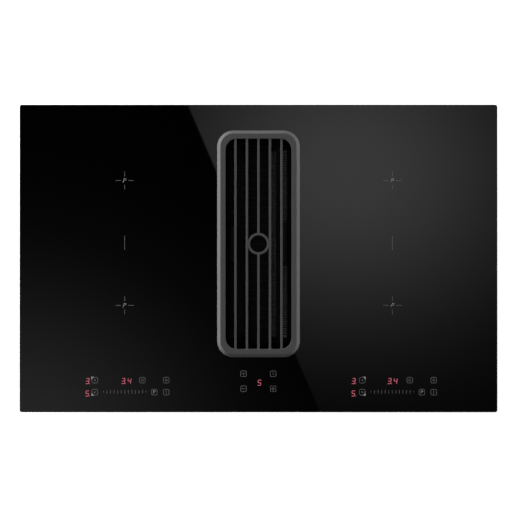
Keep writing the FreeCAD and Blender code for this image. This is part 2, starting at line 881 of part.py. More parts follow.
# Plenum: an open-topped box under the casing, and the supports of the drip tray in it
plenum = Piece("plenum_box", 0, s.well_offset)
sketch = plenum.sketch(plenum_bottom)
rounded(sketch, s.plenum_width, s.plenum_length, s.plenum_corner)
plenum.pad(sketch, s.plenum_height)
sketch = plenum.sketch(casing_bottom - s.plenum_flange_thickness)
rounded(
    sketch,
    s.plenum_width + s.plenum_flange * 2,
    s.plenum_length + s.plenum_flange * 2,
    s.plenum_corner + s.plenum_flange,
)
plenum.pad(sketch, s.plenum_flange_thickness)
sketch = plenum.sketch(plenum_floor)
rounded(
    sketch,
    s.plenum_width - s.plenum_wall * 2,
    s.plenum_length - s.plenum_wall * 2,
    s.plenum_corner - s.plenum_wall,
)
plenum.cut(sketch, s.plenum_height - s.plenum_wall)
sketch = plenum.sketch(plenum_bottom)
circle(sketch, s.plenum_hole, 0, -s.well_offset)
plenum.cut(sketch, s.plenum_wall)
support_places = [
    (s.support_x * side, s.well_offset + s.support_y * end) for side in (-1, 1) for end in (-1, 1)
]
posts("tray_supports", s.support_width, plenum_floor, tray_bottom - plenum_floor, support_places)


def scroll(sketch, grow, past=0):
    """Spiral outline of the blower about the impeller's axis, grown outwards and past the outlet."""
    step = s.scroll_step
    radius = s.scroll_radius
    centres = [(Size.of(0), Size.of(0)), (Size.of(0), -step), (step, -step), (step, Size.of(0))]
    radii = [radius + step * i + grow for i in range(4)]
    tongue_x = s.tongue_x - grow * 3.75
    rear = s.outlet_rear + past
    left = -s.outlet_left - grow * 1.3 - 0.83 * Size.of(past)
    right = radius + step * 4 + grow
    tongue = math.acos(tongue_x.value / radii[0].value)
    starts = [tongue, math.pi / 2, math.pi, math.pi * 1.5]
    ends = [math.pi / 2, math.pi, math.pi * 1.5, math.pi * 2]
    up = FreeCAD.Vector(0, 0, 1)
    arcs = []
    for (x, y), size, start, end in zip(centres, radii, starts, ends):
        whole = Part.Circle(flat(x, y), up, size.value)
        arcs.append(sketch.addGeometry(Part.ArcOfCircle(whole, start, end)))
    tip = FreeCAD.Vector(tongue_x.value, radii[0].value * math.sin(tongue), 0)
    side = sketch.addGeometry(Part.LineSegment(flat(right, 0), flat(right, rear)))
    mouth = sketch.addGeometry(Part.LineSegment(flat(right, rear), flat(left, rear)))
    nose = sketch.addGeometry(Part.LineSegment(flat(left, rear), tip))
    for first, second in zip(arcs + [side], arcs[1:] + [side]):
        if first != second:
            relate(sketch, "Tangent", first, 2, second, 1)
    relate(sketch, "Coincident", side, 2, mouth, 1)
    relate(sketch, "Coincident", mouth, 2, nose, 1)
    relate(sketch, "Coincident", nose, 2, arcs[0], 1)
    relate(sketch, "Vertical", side)
    relate(sketch, "Horizontal", mouth)
    relate(sketch, "Vertical", arcs[0], 3, arcs[1], 3)
    relate(sketch, "Horizontal", arcs[1], 3, arcs[2], 3)
    relate(sketch, "Vertical", arcs[2], 3, arcs[3], 3)
    pin(sketch, arcs[0], 3, 0, 0)
    for arc, size in zip(arcs, radii):
        measure(sketch, "Radius", (arc,), size)
    measure(sketch, "DistanceY", (-1, 1, mouth, 1), rear)
    measure(sketch, "DistanceX", (-1, 1, mouth, 2), left)
    measure(sketch, "DistanceX", (-1, 1, arcs[0], 1), tongue_x)


# Blower lid with the inlet mouth that reaches into the impeller
flange_grow = s.scroll_wall + s.scroll_flange
lid = Piece("blower_lid")
sketch = lid.sketch(lid_bottom)
scroll(sketch, flange_grow)
lid.pad(sketch, s.lid_thickness)
sketch = lid.sketch(plenum_bottom - s.mouth_depth)
circle(sketch, s.mouth_radius + s.scroll_wall)
lid.pad(sketch, s.mouth_depth)
sketch = lid.sketch(plenum_bottom - s.mouth_depth)
circle(sketch, s.mouth_radius)
lid.cut(sketch, s.mouth_depth)

# Blower base: the scroll tub with its flange and the ears that take the outlet collar
base = Piece("blower_base")
outlet_right = s.scroll_radius + s.scroll_step * 4
outlet_x = (outlet_right - s.outlet_left) / 2
outlet_width = outlet_right + s.outlet_left
sketch = base.sketch(base_bottom)
scroll(sketch, s.scroll_wall)
base.pad(sketch, s.base_height)
sketch = base.sketch(lid_bottom - s.scroll_flange_thickness)
scroll(sketch, flange_grow)
base.pad(sketch, s.scroll_flange_thickness)
sketch = base.sketch(base_bottom)
rectangle(
    sketch, outlet_width + s.ear_width * 2, s.ear_depth, outlet_x, s.outlet_rear - s.ear_depth / 2
)
base.pad(sketch, s.base_height)
sketch = base.sketch(base_floor)
scroll(sketch, Size.of(0), 5)
base.cut(sketch, s.base_height - s.scroll_wall)

sketch = base.sketch(base_bottom)
panels = 8
half = s.rib_width / 2
for panel in range(panels):
    turn = math.pi * 2 / panels * panel
    spread = math.pi * 2 / panels
    corners = []
    for radius, angle, side in (
        (s.recess_inner, turn, 1),
        (s.recess_outer, turn, 1),
        (s.recess_outer, turn + spread, -1),
        (s.recess_inner, turn + spread, -1),
    ):
        across = half * side
        x = radius * math.cos(angle) - across * math.sin(angle)
        y = radius * math.sin(angle) + across * math.cos(angle)
        corners.append((x, y))
    polygon(sketch, corners)
base.cut(sketch, s.recess_depth)

# Outlet collar for a flat duct
collar = Piece("outlet_collar")
collar_z = (lid_bottom + base_bottom) / 2
sketch = collar.sketch(-s.outlet_rear - s.collar_flange, "XZ_Plane")
rectangle(sketch, outlet_width + s.ear_width * 2, s.base_height, outlet_x, collar_z)
collar.pad(sketch, s.collar_flange)
sketch = collar.sketch(-s.outlet_rear - s.collar_flange - s.duct_length, "XZ_Plane")
rounded(sketch, s.duct_width, s.duct_height, s.duct_wall * 2, outlet_x, collar_z)
collar.pad(sketch, s.duct_length)
sketch = collar.sketch(-s.outlet_rear - s.collar_flange - s.duct_length, "XZ_Plane")
rounded(
    sketch,
    s.duct_width - s.duct_wall * 2,
    s.duct_height - s.duct_wall * 2,
    s.duct_wall,
    outlet_x,
    collar_z,
)
collar.cut(sketch, s.duct_length + s.collar_flange)

# Blower motor on three rubber isolators
isolator_places = [
    (s.isolator_circle * math.cos(turn), s.isolator_circle * math.sin(turn))
    for turn in (math.pi / 2, math.pi * 7 / 6, math.pi * 11 / 6)
]
posts("motor_isolators", s.isolator_width, base_floor, s.isolator_height, isolator_places)
motor_bottom = base_floor + s.isolator_height
motor_flange_top = motor_bottom + s.motor_flange
motor_top = motor_flange_top + s.motor_height
motor = Piece("blower_motor")
sketch = motor.sketch(motor_bottom)
regular(sketch, s.motor_flange_radius, 6, start=math.pi / 6)
motor.pad(sketch, s.motor_flange)
sketch = motor.sketch(motor_flange_top)
circle(sketch, s.motor_radius)
motor.pad(sketch, s.motor_height)
sketch = motor.sketch(motor_flange_top + s.motor_flange)
circle(sketch, s.shaft_radius + s.shaft_play)
motor.cut(sketch, s.motor_height - s.motor_flange)

# Impeller: back plate, hub over the motor, forward-raked blades and a shroud ring
impeller_bottom = motor_flange_top + s.impeller_gap
hub_top = impeller_bottom + s.hub_height
blade_tip = math.atan2(s.blade_lead.value, s.blade_outer.value)
blade_count = int(s.blade_count.value)
impeller = Piece("impeller")
sketch = impeller.sketch(impeller_bottom)
regular(sketch, s.impeller_radius, blade_count, start=blade_tip)
impeller.pad(sketch, s.impeller_plate)
sketch = impeller.sketch(impeller_bottom)
circle(sketch, s.hub_radius)
impeller.pad(sketch, s.hub_height)
sketch = impeller.sketch(impeller_bottom)
circle(sketch, s.hub_radius - s.hub_wall)
impeller.cut(sketch, s.hub_height - s.hub_wall)
sketch = impeller.sketch(hub_top - s.hub_wall)
circle(sketch, s.shaft_radius)
impeller.cut(sketch, s.hub_wall)
blade_bottom = impeller_bottom + s.impeller_plate
sketch = impeller.sketch(blade_bottom + s.blade_height)
regular(sketch, s.impeller_radius, blade_count, start=blade_tip)
regular(sketch, s.blade_inner - s.blade_thickness, blade_count, start=blade_tip)
impeller.pad(sketch, s.shroud_thickness)
sketch = impeller.sketch(blade_bottom)
polygon(
    sketch,
    [
        (s.blade_inner, Size.of(0)),
        (s.blade_outer, s.blade_lead),
        (s.blade_outer - s.blade_thickness, s.blade_lead + s.blade_thickness),
        (s.blade_inner, s.blade_thickness),
    ],
)
blade = impeller.pad(sketch, s.blade_height)
impeller.around(blade, s.blade_count)
pins("impeller_shaft", s.shaft_radius, hub_top - s.shaft_length, s.shaft_length, [(0, 0)])

# Driver of the blower motor on the plenum's left wall
block(
    "blower_driver",
    s.driver_width,
    s.driver_length,
    plenum_bottom + s.plenum_wall * 3,
    s.driver_height,
    -s.plenum_width / 2 - s.driver_width / 2,
    s.well_offset,
)

# Coil trays on posts
coil_tray_bottom = glass_bottom - s.coil_tray_top - s.coil_tray_sheet
coil_tray_top = coil_tray_bottom + s.coil_tray_sheet
ferrite_top = coil_tray_top + s.ferrite_thickness
former_top = ferrite_top + s.former_thickness
coil_top = former_top + s.coil_thickness
mica_top = coil_top + s.mica_thickness
coil_tray_x = (s.coil_tray_left + s.coil_tray_right) / 2
post_y = s.coil_tray_depth / 2 - s.post_width
post_inner = s.coil_tray_left + s.post_width
post_outer = s.coil_tray_right - s.post_width * 0.8
post_places = []
for side in (-1, 1):
    post_places += [(post_inner * side, post_y * end) for end in (-1, 1)]
    post_places += [(post_outer * side, post_y * end) for end in (-1, 0, 1)]
posts("tray_posts", s.post_width, casing_floor, coil_tray_bottom - casing_floor, post_places)

zones = [("rear", s.zone_rear), ("front", -s.zone_front)]
ferrites = Piece("ferrite_bars")
ferrite_sketch = ferrites.sketch(coil_tray_top)
formers = Piece("coil_formers")
former_sketch = formers.sketch(ferrite_top)
sensors = Piece("coil_sensors")
sensor_sketch = sensors.sketch(former_top)
ferrite_x = s.coil_width / 2 - s.ferrite_length / 2
ferrite_y = s.coil_depth / 4
for name, side in both_sides:
    block(
        f"{name}_coil_tray",
        coil_tray_width,
        s.coil_tray_depth,
        coil_tray_bottom,
        s.coil_tray_sheet,
        coil_tray_x * side,
    )
    mica = Piece(f"{name}_mica_sheet")
    sketch = mica.sketch(coil_top)
    rectangle(sketch, s.mica_width, s.mica_depth, s.zone_x * side, (s.zone_rear - s.zone_front) / 2)
    for zone, zone_y in zones:
        sensor_hole = s.sensor_width + s.sensor_gap * 2
        rectangle(sketch, sensor_hole, sensor_hole, s.zone_x * side, zone_y)
        coil = Piece(f"{name}_{zone}_coil", s.zone_x * side, zone_y)
        coil_sketch = coil.sketch(former_top)
        chamfered(coil_sketch, s.coil_width, s.coil_depth, s.coil_corner)
        chamfered(coil_sketch, s.coil_bore_width, s.coil_bore_depth, s.coil_bore_corner)
        coil.pad(coil_sketch, s.coil_thickness)
        rectangle(former_sketch, s.former_width, s.former_depth, s.zone_x * side, zone_y)
        rectangle(sensor_sketch, s.sensor_width, s.sensor_width, s.zone_x * side, zone_y)
        for out in (-1, 1):
            for row in (-1, 0, 1):
                rectangle(
                    ferrite_sketch,
                    s.ferrite_length,
                    s.ferrite_width,
                    s.zone_x * side + ferrite_x * out,
                    zone_y + ferrite_y * row * 1.4,
                )
    mica.pad(sketch, s.mica_thickness)
ferrites.pad(ferrite_sketch, s.ferrite_thickness)
formers.pad(former_sketch, s.former_thickness)
sensors.pad(sensor_sketch, glass_bottom - former_top)

# Power boards, heat sinks and the larger components
board_bottom = casing_floor + s.board_gap
board_top = board_bottom + s.board_thickness
standoff_x = s.board_width / 2 - s.standoff_inset
standoff_y = s.board_depth / 2 - s.standoff_inset
mains_stand_x = s.mains_width / 2 - s.standoff_inset
mains_stand_y = s.mains_depth / 2 - s.standoff_inset
standoffs = []
for side in (-1, 1):
    for end in (-1, 1):
        for out in (-1, 1):
            standoffs.append((s.board_x * side + standoff_x * out, standoff_y * end - s.board_y))
for end in (-1, 1):
    for out in (-1, 1):
        standoffs.append((s.mains_x + mains_stand_x * out, s.mains_y + mains_stand_y * end))
posts("board_standoffs", s.standoff_width, casing_floor, s.board_gap, standoffs)

sink_y = -s.board_y - s.board_depth / 4
components = Piece("power_components")
low_sketch = components.sketch(board_top)
for name, side in both_sides:
    board_x = s.board_x * side
    block(
        f"{name}_power_board",
        s.board_width,
        s.board_depth,
        board_bottom,
        s.board_thickness,
        board_x,
        -s.board_y,
    )
    sink = block(f"{name}_heat_sink", s.sink_width, s.sink_depth, board_top, s.sink_base, board_x, sink_y)
    sketch = sink.sketch(board_top + s.sink_base)
    first_fin = board_x - s.fin_pitch * (s.fin_count - 1) / 2
    rectangle(sketch, s.fin_thickness, s.sink_depth, first_fin, sink_y)
    fin = sink.pad(sketch, s.sink_height - s.sink_base)
    sink.row(fin, "X_Axis", s.fin_pitch, s.fin_count)
    for out in (-1, 0, 1):
        rectangle(
            low_sketch,
            s.board_width / 5,
            s.board_depth / 8,
            board_x + s.board_width / 3.4 * out,
            s.board_depth / 4 - s.board_y,
        )
components.pad(low_sketch, s.sink_height)

# Mains side: filter board, terminal block, cord inlet
block(
    "mains_filter_board",
    s.mains_width,
    s.mains_depth,
    board_bottom,
    s.board_thickness,
    s.mains_x,
    s.mains_y,
)
block(
    "terminal_block",
    s.terminal_width,
    s.terminal_depth,
    casing_floor,
    s.terminal_height,
    s.terminal_x,
    s.terminal_y,
)
inlet = Piece("cable_inlet")
sketch = inlet.sketch(casing_bottom - s.inlet_height)
chamfered(sketch, s.inlet_width, s.inlet_depth, s.inlet_depth / 8, s.inlet_x, s.inlet_y)
rectangle(sketch, s.inlet_slot_width, s.inlet_slot_depth, s.inlet_x, s.inlet_y)
inlet.pad(sketch, s.inlet_height)

# Cooling fans: square frame with struts, and a rotor with pitched blades
hub_sides = 10
for name, side in both_sides:
    cooler = Piece(f"{name}_fan_frame", s.cooler_x * side, -s.cooler_y)
    sketch = cooler.sketch(casing_floor)
    rectangle(sketch, s.cooler_side, s.cooler_side)
    regular(sketch, s.cooler_duct, 16)
    cooler.pad(sketch, s.cooler_height)
    sketch = cooler.sketch(casing_floor)
    rectangle(sketch, s.cooler_duct * 2 + s.strut_width / 4, s.strut_width)
    cooler.pad(sketch, s.strut_height)
    sketch = cooler.sketch(casing_floor)
    rectangle(sketch, s.strut_width, s.cooler_duct * 2 + s.strut_width / 4)
    cooler.pad(sketch, s.strut_height)
    sketch = cooler.sketch(casing_floor)
    regular(sketch, s.cooler_hub, hub_sides)
    cooler.pad(sketch, s.strut_height)
    sketch = cooler.sketch(casing_floor)
    circle(sketch, s.cooler_pin + s.shaft_play)
    cooler.cut(sketch, s.strut_height)

    rotor = Piece(f"{name}_fan_rotor", s.cooler_x * side, -s.cooler_y)
    rotor_bottom = casing_floor + s.strut_height + s.strut_height / 6
    rotor_height = s.cooler_height - s.strut_height - s.strut_height / 3
    sketch = rotor.sketch(rotor_bottom)
    regular(sketch, s.cooler_hub, hub_sides)
    rotor.pad(sketch, rotor_height)
    sketch = rotor.sketch(casing_floor + s.strut_height / 6)
    circle(sketch, s.cooler_pin)
    rotor.pad(sketch, s.cooler_height / 2)
    sketch = rotor.sketch(-s.cooler_blade, "XZ_Plane")
    blade_low = rotor_bottom + rotor_height / 8
    blade_high = rotor_bottom + rotor_height * 7 / 8
    blade_run = s.cooler_hub / 2.2
    polygon(
        sketch,
        [
            (-blade_run, blade_low),
            (-blade_run + s.fan_blade, blade_low),
            (blade_run, blade_high),
            (blade_run - s.fan_blade, blade_high),
        ],
    )
    blade = rotor.pad(sketch, s.cooler_blade - s.cooler_hub * 0.7)
    rotor.around(blade, s.cooler_blades)

# Touch controls: boards in carriers under the glass, with displays and foam contacts that reach up to it
carrier_bottom = coil_tray_top
carrier_top = carrier_bottom + s.control_height
seat = carrier_top - s.control_seat
touch_top = seat + s.board_thickness
contacts = Piece("touch_contacts")
contact_sketch = contacts.sketch(touch_top)


def touch_set(name, x, y, bottom, width, windows, keys):
    """Carrier, board and displays of one control; its contacts join the common sketch."""
    carrier = block(f"{name}_touch_carrier", width, s.control_depth, bottom, carrier_top - bottom, x, y)
    inner = s.control_wall * 2
    cut_sketch = carrier.sketch(seat)
    rectangle(cut_sketch, width - inner, s.control_depth - inner, x, y)
    carrier.cut(cut_sketch, s.control_seat)
    cut_sketch = carrier.sketch(bottom + s.control_floor)
    deep = inner + s.control_ledge * 2
    rectangle(cut_sketch, width - deep, s.control_depth - deep, x, y)
    carrier.cut(cut_sketch, seat - bottom - s.control_floor)
    play = inner + s.board_play * 2
    block(
        f"{name}_touch_board", width - play, s.control_depth - play, seat, s.board_thickness, x, y
    )
    display = Piece(f"{name}_display")
    display_sketch = display.sketch(touch_top)
    for wide, deep_size, across, along in windows:
        rectangle(display_sketch, Size.of(wide), Size.of(deep_size), x + width * across, y + along)
    display.pad(display_sketch, glass_bottom - s.display_gap - touch_top)
    for across, along in keys:
        rectangle(contact_sketch, s.contact_width, s.contact_width, x + width * across, y + along)


# Across: as a share of the control's width; along: in millimetres
side_windows = [(10, 13, -0.375, 10), (10, 13, -0.375, -10.1), (18, 13, -0.006, 10)]
side_keys = [
    (-0.307, 10),
    (-0.307, -10.1),
    (0.145, 10),
    (0.372, 10),
    (0.259, -10.1),
    (0.372, -10.1),
    (-0.193, -10.1),
    (-0.026, -10.1),
    (0.142, -10.1),
]
for name, side in both_sides:
    touch_set(
        name,
        s.control_x * side + s.control_shift,
        -s.control_y,
        carrier_bottom,
        s.control_width,
        side_windows,
        side_keys,
    )
bridge_top = coil_tray_top + s.bridge_sheet
touch_set(
    "centre",
    Size.of(0),
    -s.centre_y,
    bridge_top,
    s.centre_width,
    [(14, 17, 0.01, -3.1)],
    [(-0.299, 12.2), (-0.299, -13), (0.292, 12.2), (0.292, -13)],
)
contacts.pad(contact_sketch, glass_bottom - touch_top)
block(
    "centre_bridge",
    (s.coil_tray_left + s.bridge_reach) * 2,
    s.bridge_front - s.bridge_rear,
    coil_tray_top,
    s.bridge_sheet,
    Size.of(0),
    -(s.bridge_front + s.bridge_rear) / 2,
)

doc.recompute()

for item in doc.Objects:
    if "Invalid" in item.State or "Error" in item.State:
        raise RuntimeError(f"{item.Label} did not compute: {item.State}")
for made in cuts:
    if made.Shape.Volume >= made.BaseFeature.Shape.Volume - 1e-6:
        raise RuntimeError(f"{made.Label} removed nothing")

os.makedirs("parts", exist_ok=True)
for body in pieces:
    shape = body.Shape
    if shape.isNull() or not shape.isValid():
        raise RuntimeError(f"{body.Label} has no valid shape")
    shape.exportStep(f"parts/{body.Label}.step")
    print(body.Label, len(shape.Solids), round(shape.Volume / 1000, 2))
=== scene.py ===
import json
import math

import bmesh
import bpy
from bpy.props import FloatProperty, FloatVectorProperty, PointerProperty
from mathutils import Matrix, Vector


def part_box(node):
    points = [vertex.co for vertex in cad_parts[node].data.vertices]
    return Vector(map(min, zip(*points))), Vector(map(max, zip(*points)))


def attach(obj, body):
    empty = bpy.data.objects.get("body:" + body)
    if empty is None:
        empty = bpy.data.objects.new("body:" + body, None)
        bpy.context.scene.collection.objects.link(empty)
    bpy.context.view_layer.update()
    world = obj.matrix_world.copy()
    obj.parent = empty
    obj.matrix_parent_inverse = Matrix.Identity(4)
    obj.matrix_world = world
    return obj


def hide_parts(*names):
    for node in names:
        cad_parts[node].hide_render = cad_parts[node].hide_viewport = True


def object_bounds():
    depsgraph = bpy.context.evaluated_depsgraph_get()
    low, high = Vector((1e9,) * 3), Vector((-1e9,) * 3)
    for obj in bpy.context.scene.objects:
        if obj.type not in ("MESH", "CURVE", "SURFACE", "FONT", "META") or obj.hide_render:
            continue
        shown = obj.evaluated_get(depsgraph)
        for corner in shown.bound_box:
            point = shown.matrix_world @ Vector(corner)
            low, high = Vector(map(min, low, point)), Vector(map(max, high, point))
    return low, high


bl_info = {
    "name": "Venting cooktop",
    "version": (1, 0, 0),
    "blender": (4, 5, 0),
    "location": "3D View > Sidebar > Cooktop",
    "description": "Models the visible pieces and finishes of a venting induction cooktop around its solids",
    "category": "Object",
}

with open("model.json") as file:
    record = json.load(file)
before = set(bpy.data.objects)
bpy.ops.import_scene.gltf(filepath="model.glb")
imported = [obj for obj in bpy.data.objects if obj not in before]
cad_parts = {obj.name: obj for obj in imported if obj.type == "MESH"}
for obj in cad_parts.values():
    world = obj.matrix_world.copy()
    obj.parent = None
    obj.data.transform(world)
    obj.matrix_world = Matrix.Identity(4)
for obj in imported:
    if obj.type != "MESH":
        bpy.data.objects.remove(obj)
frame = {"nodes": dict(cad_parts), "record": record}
cad_box = [list(corner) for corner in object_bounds()]

MM = 0.001
WELD = 0.01 * MM
WHITE = (1, 1, 1, 1)
QUARTER = math.pi / 2
LEVEL = (0, 0, 0)
DOWN = (math.pi, 0, 0)
REAR = (-QUARTER, 0, 0)
FRONT = (QUARTER, 0, 0)
LEFT = (0, -QUARTER, 0)
RIGHT = (0, QUARTER, 0)
SIDES = (-1, 1)
finishes = {}
slot_of = {part["node"]: part["material_slot"] for part in frame["record"]["subparts"]}
body_of = {node: body for body, nodes in frame["record"]["behaviour"]["bodies"].items() for node in nodes}


def length(name, description, millimetres):
    default = millimetres * MM
    return FloatProperty(name=name, description=description, default=default, unit="LENGTH", precision=5)


def colour(name, description, *shade):
    return FloatVectorProperty(
        name=name, description=description, default=shade, size=3, min=0, max=1, subtype="COLOR"
    )


def level(name, description, default):
    return FloatProperty(name=name, description=description, default=default, min=0)


class CooktopPrints(bpy.types.PropertyGroup):
    """Marks printed on the glass and the digits lit below it"""

    stroke: length("Stroke", "Width of a printed line", 0.75)
    ink: length("Ink", "Height of the ink above the glass", 0.05)
    key: length("Key", "Side of a key outline", 10.3)
    key_corner: length("Key corner", "Corner radius of a key outline", 2.8)
    arm: length("Arm", "Reach of a zone cross from its centre", 15.3)
    arm_gap: length("Arm gap", "Distance from a zone's centre to the start of an arm", 6.2)
    digit_height: length("Digit height", "Height of a lit digit", 8.8)
    digit_width: length("Digit width", "Width of a lit digit", 4.9)
    slant: level("Slant", "Lean of the lit digits", 0.16)
    ink_colour: colour("Ink colour", "Grey of the printed marks", 0.15, 0.15, 0.155)
    lit_colour: colour("Lit colour", "Pale red of the lit digits", 0.7, 0.215, 0.27)
    halo_colour: colour("Halo colour", "Deep red round the lit digits", 0.26, 0.003, 0.026)
    wedge_colour: colour("Wedge colour", "Pale corner that names a key's zone", 0.7, 0.73, 0.71)


class CooktopMetalwork(bpy.types.PropertyGroup):
    """Edges and openings of the made pieces"""

    cast_edge: length("Cast edge", "Rounding of the grille's edges", 0.5)
    bar_fillet: length("Bar fillet", "Rounding where a bar meets the frame", 2.2)
    corner_fill: length("Corner fill", "Radius of the fill in the frame's inner corners", 20)
    fill_lap: length("Fill lap", "Depth to which the corner fill runs into the frame", 0.6)
    bar_pitch: length("Bar pitch", "Distance between the grille's bars", 19.25)
    bar_width: length("Bar width", "Width of a bar", 3.6)
    frame_width: length("Frame width", "Width of the grille's frame", 13.7)
    ring_radius: length("Ring radius", "Outer radius of the finger ring", 18.1)
    sheet_edge: length("Sheet edge", "Rounding of folded sheet", 0.35)
    moulded_edge: length("Moulded edge", "Rounding of moulded plastic", 0.8)
    tray_edge: length("Tray edge", "Rounding of the drip tray", 0.45)
    slot_pitch: length("Slot pitch", "Pitch of the filter's fine slots", 3.94)
    ridge: length("Ridge", "Height of the ridges across the filter's floor", 0.8)
    slot_end: length("Slot end", "Reach of the slots from the filter's middle", 156.5)
    handle_clear: length("Handle clearance", "Plain length beside a handle, from the middle", 40)
    sheet: length("Filter sheet", "Thickness of the filter", 0.9)


class CooktopFinishes(bpy.types.PropertyGroup):
    """Colours of the finishes"""

    glass: colour("Glass", "Black glass ceramic", 0.0005, 0.0005, 0.0006)
    enamel: colour("Enamel", "Anthracite enamel of the grille", 0.08, 0.08, 0.0815)
    coated: colour("Coated", "Black coating of the filter and its handles", 0.0065, 0.0065, 0.0067)
    galvanised: colour("Galvanised", "Sheet steel of the casing", 0.46, 0.47, 0.48)
    housing: colour("Housing", "Black moulded plastic", 0.017, 0.017, 0.0185)
    copper: colour("Copper", "Enamelled wire of the coils", 0.45, 0.17, 0.07)
    board: colour("Board", "Circuit board lacquer", 0.012, 0.07, 0.035)


class CooktopStudio(bpy.types.PropertyGroup):
    """Camera and light"""

    camera_height: length("Camera height", "Height of the camera above the glass", 3000)
    view_width: length("View width", "Width of the picture on the glass", 865.2)
    card_height: length("Card height", "Height of the reflected card above the glass", 2000)
    left_lamp: level("Left lamp", "Power of the low softbox on the left, in watts", 132)
    high_lamp: level("High lamp", "Power of the softbox above on the left, in watts", 12.5)
    right_lamp: level("Right lamp", "Power of the low softbox on the right, in watts", 65)
    ambient: level("Ambient", "Level of the light from all round", 0.09)
    floor_glow: level("Floor glow", "Share of the floor's white that no shadow takes, around the hob", 0.82)
    # A lower glow under the hob paints a shade there.
    shade_glow: level("Shade glow", "Share of the floor's white that no shadow takes, under the hob", 0.25)


# Shader toolkit


class Wire:
    """A node's output; arithmetic on it adds Math nodes."""

    def __init__(self, finish, socket):
        self.finish = finish
        self.socket = socket

    def maths(self, operation, *values, clamp=False):
        settings = {"operation": operation, "use_clamp": clamp}
        return self.finish.node("ShaderNodeMath", settings, dict(enumerate(values)))

    def __add__(self, other):
        return self.maths("ADD", self, other)

    def __radd__(self, other):
        return self.maths("ADD", other, self)

    def __sub__(self, other):
        return self.maths("SUBTRACT", self, other)

    def __rsub__(self, other):
        return self.maths("SUBTRACT", other, self)

    def __mul__(self, other):
        return self.maths("MULTIPLY", self, other)

    def __rmul__(self, other):
        return self.maths("MULTIPLY", other, self)

    def __truediv__(self, other):
        return self.maths("DIVIDE", self, other)

    def __rtruediv__(self, other):
        return self.maths("DIVIDE", other, self)

    def __pow__(self, other):
        return self.maths("POWER", self, other)

    def __rpow__(self, other):
        return self.maths("POWER", other, self)

    def __abs__(self):
        return self.maths("ABSOLUTE", self)

    def exp(self):
        return self.maths("EXPONENT", self)

    def clamped(self):
        return self.maths("ADD", self, 0, clamp=True)

    def either(self, other):
        return self.maths("MAXIMUM", self, other)


class Finish:
    """One material, built from nodes."""

    def __init__(self, name, tree=None):
        self.material = None
        if tree is None:
            self.material = bpy.data.materials.new(name)
            self.material.use_nodes = True
            tree = self.material.node_tree
        self.tree = tree
        self.tree.nodes.clear()

    def node(self, kind, settings=None, inputs=None, output=0):
        """A node of any kind: its settings first, then the values or links of its sockets."""
        made = self.tree.nodes.new(kind)
        for name, value in (settings or {}).items():
            setattr(made, name, value)
        for key, value in (inputs or {}).items():
            if isinstance(value, Wire):
                self.tree.links.new(value.socket, made.inputs[key])
            else:
                made.inputs[key].default_value = value
        return None if output is None else Wire(self, made.outputs[output])

    def place(self, stretch=(1, 1, 1)):
        """Object coordinates, stretched."""
        where = self.node("ShaderNodeTexCoord", output="Object")
        return self.node("ShaderNodeMapping", {}, {"Vector": where, "Scale": stretch})

    def axes(self, names, stretch=(1, 1, 1)):
        """The named object coordinates, one by one."""
        where = self.place(stretch)
        return [self.node("ShaderNodeSeparateXYZ", {}, {"Vector": where}, name) for name in names]

    def noise(self, scale, detail=3, rough=0.5, stretch=(1, 1, 1)):
        inputs = {"Vector": self.place(stretch), "Scale": scale, "Detail": detail, "Roughness": rough}
        return self.node("ShaderNodeTexNoise", {}, inputs, "Fac")

    def cells(self, scale, output="Color"):
        return self.node("ShaderNodeTexVoronoi", {}, {"Vector": self.place(), "Scale": scale}, output)

    def channel(self, shade, name):
        return self.node("ShaderNodeSeparateColor", {}, {"Color": shade}, name)

    def blend(self, factor, first, second):
        """A colour between two colours."""
        first = first if isinstance(first, Wire) else opaque(first)
        second = second if isinstance(second, Wire) else opaque(second)
        return self.node("ShaderNodeMix", {"data_type": "RGBA"}, {0: factor, 6: first, 7: second}, 2)

    def tones(self, factor, shade, low, high):
        """A colour between two tones of one shade."""
        return self.blend(factor, scaled(shade, low), scaled(shade, high))

    def bump(self, height, strength, distance):
        inputs = {"Height": height, "Strength": strength, "Distance": distance}
        return self.node("ShaderNodeBump", {}, inputs)

    def glow(self, strength):
        return self.node("ShaderNodeEmission", {}, {"Color": WHITE, "Strength": strength})

    def mixed(self, factor, first, second):
        """A shader between two shaders."""
        return self.node("ShaderNodeMixShader", {}, {0: factor, 1: first, 2: second})

    def shown(self, shader, output="ShaderNodeOutputMaterial"):
        self.node(output, {}, {"Surface": shader}, None)
        return self

    def surface(self, **sockets):
        """The shader of a piece; a socket's name is written with underscores."""
        inputs = {}
        for name, value in sockets.items():
            words = [word if word == "IOR" else word.capitalize() for word in name.split("_")]
            inputs[" ".join(words)] = value
        return self.shown(self.node("ShaderNodeBsdfPrincipled", {}, inputs))


def opaque(shade):
    return (*tuple(shade)[:3], 1)


def scaled(shade, factor):
    return tuple(part * factor for part in tuple(shade)[:3])


# Finishes


def moulded(name, shade, roughness=0.5, grain=2600, depth=0.04 * MM):
    """Moulded plastic with a fine spark-eroded grain and faint flow marks."""
    finish = Finish(name)
    speckle = finish.noise(grain, 2)
    flow = finish.noise(9, 3)
    return finish.surface(
        base_color=finish.tones(flow * 0.6 + speckle * 0.4, shade, 0.8, 1.25),
        roughness=roughness - 0.08 + flow * 0.16,
        normal=finish.bump(speckle, 0.35, depth),
    )


def drawn(name, shade, roughness=0.3, along=(1, 0.02, 1)):
    """Rolled or brushed metal whose fine lines run one way."""
    finish = Finish(name)
    lines = finish.noise(1500, 2, 0.6, along)
    cloud = finish.noise(14, 3)
    return finish.surface(
        base_color=finish.tones(lines * 0.5 + cloud * 0.5, shade, 0.78, 1.18),
        metallic=1.0,
        roughness=roughness - 0.06 + lines * 0.1 + cloud * 0.06,
        normal=finish.bump(lines, 0.12, 0.03 * MM),
    )


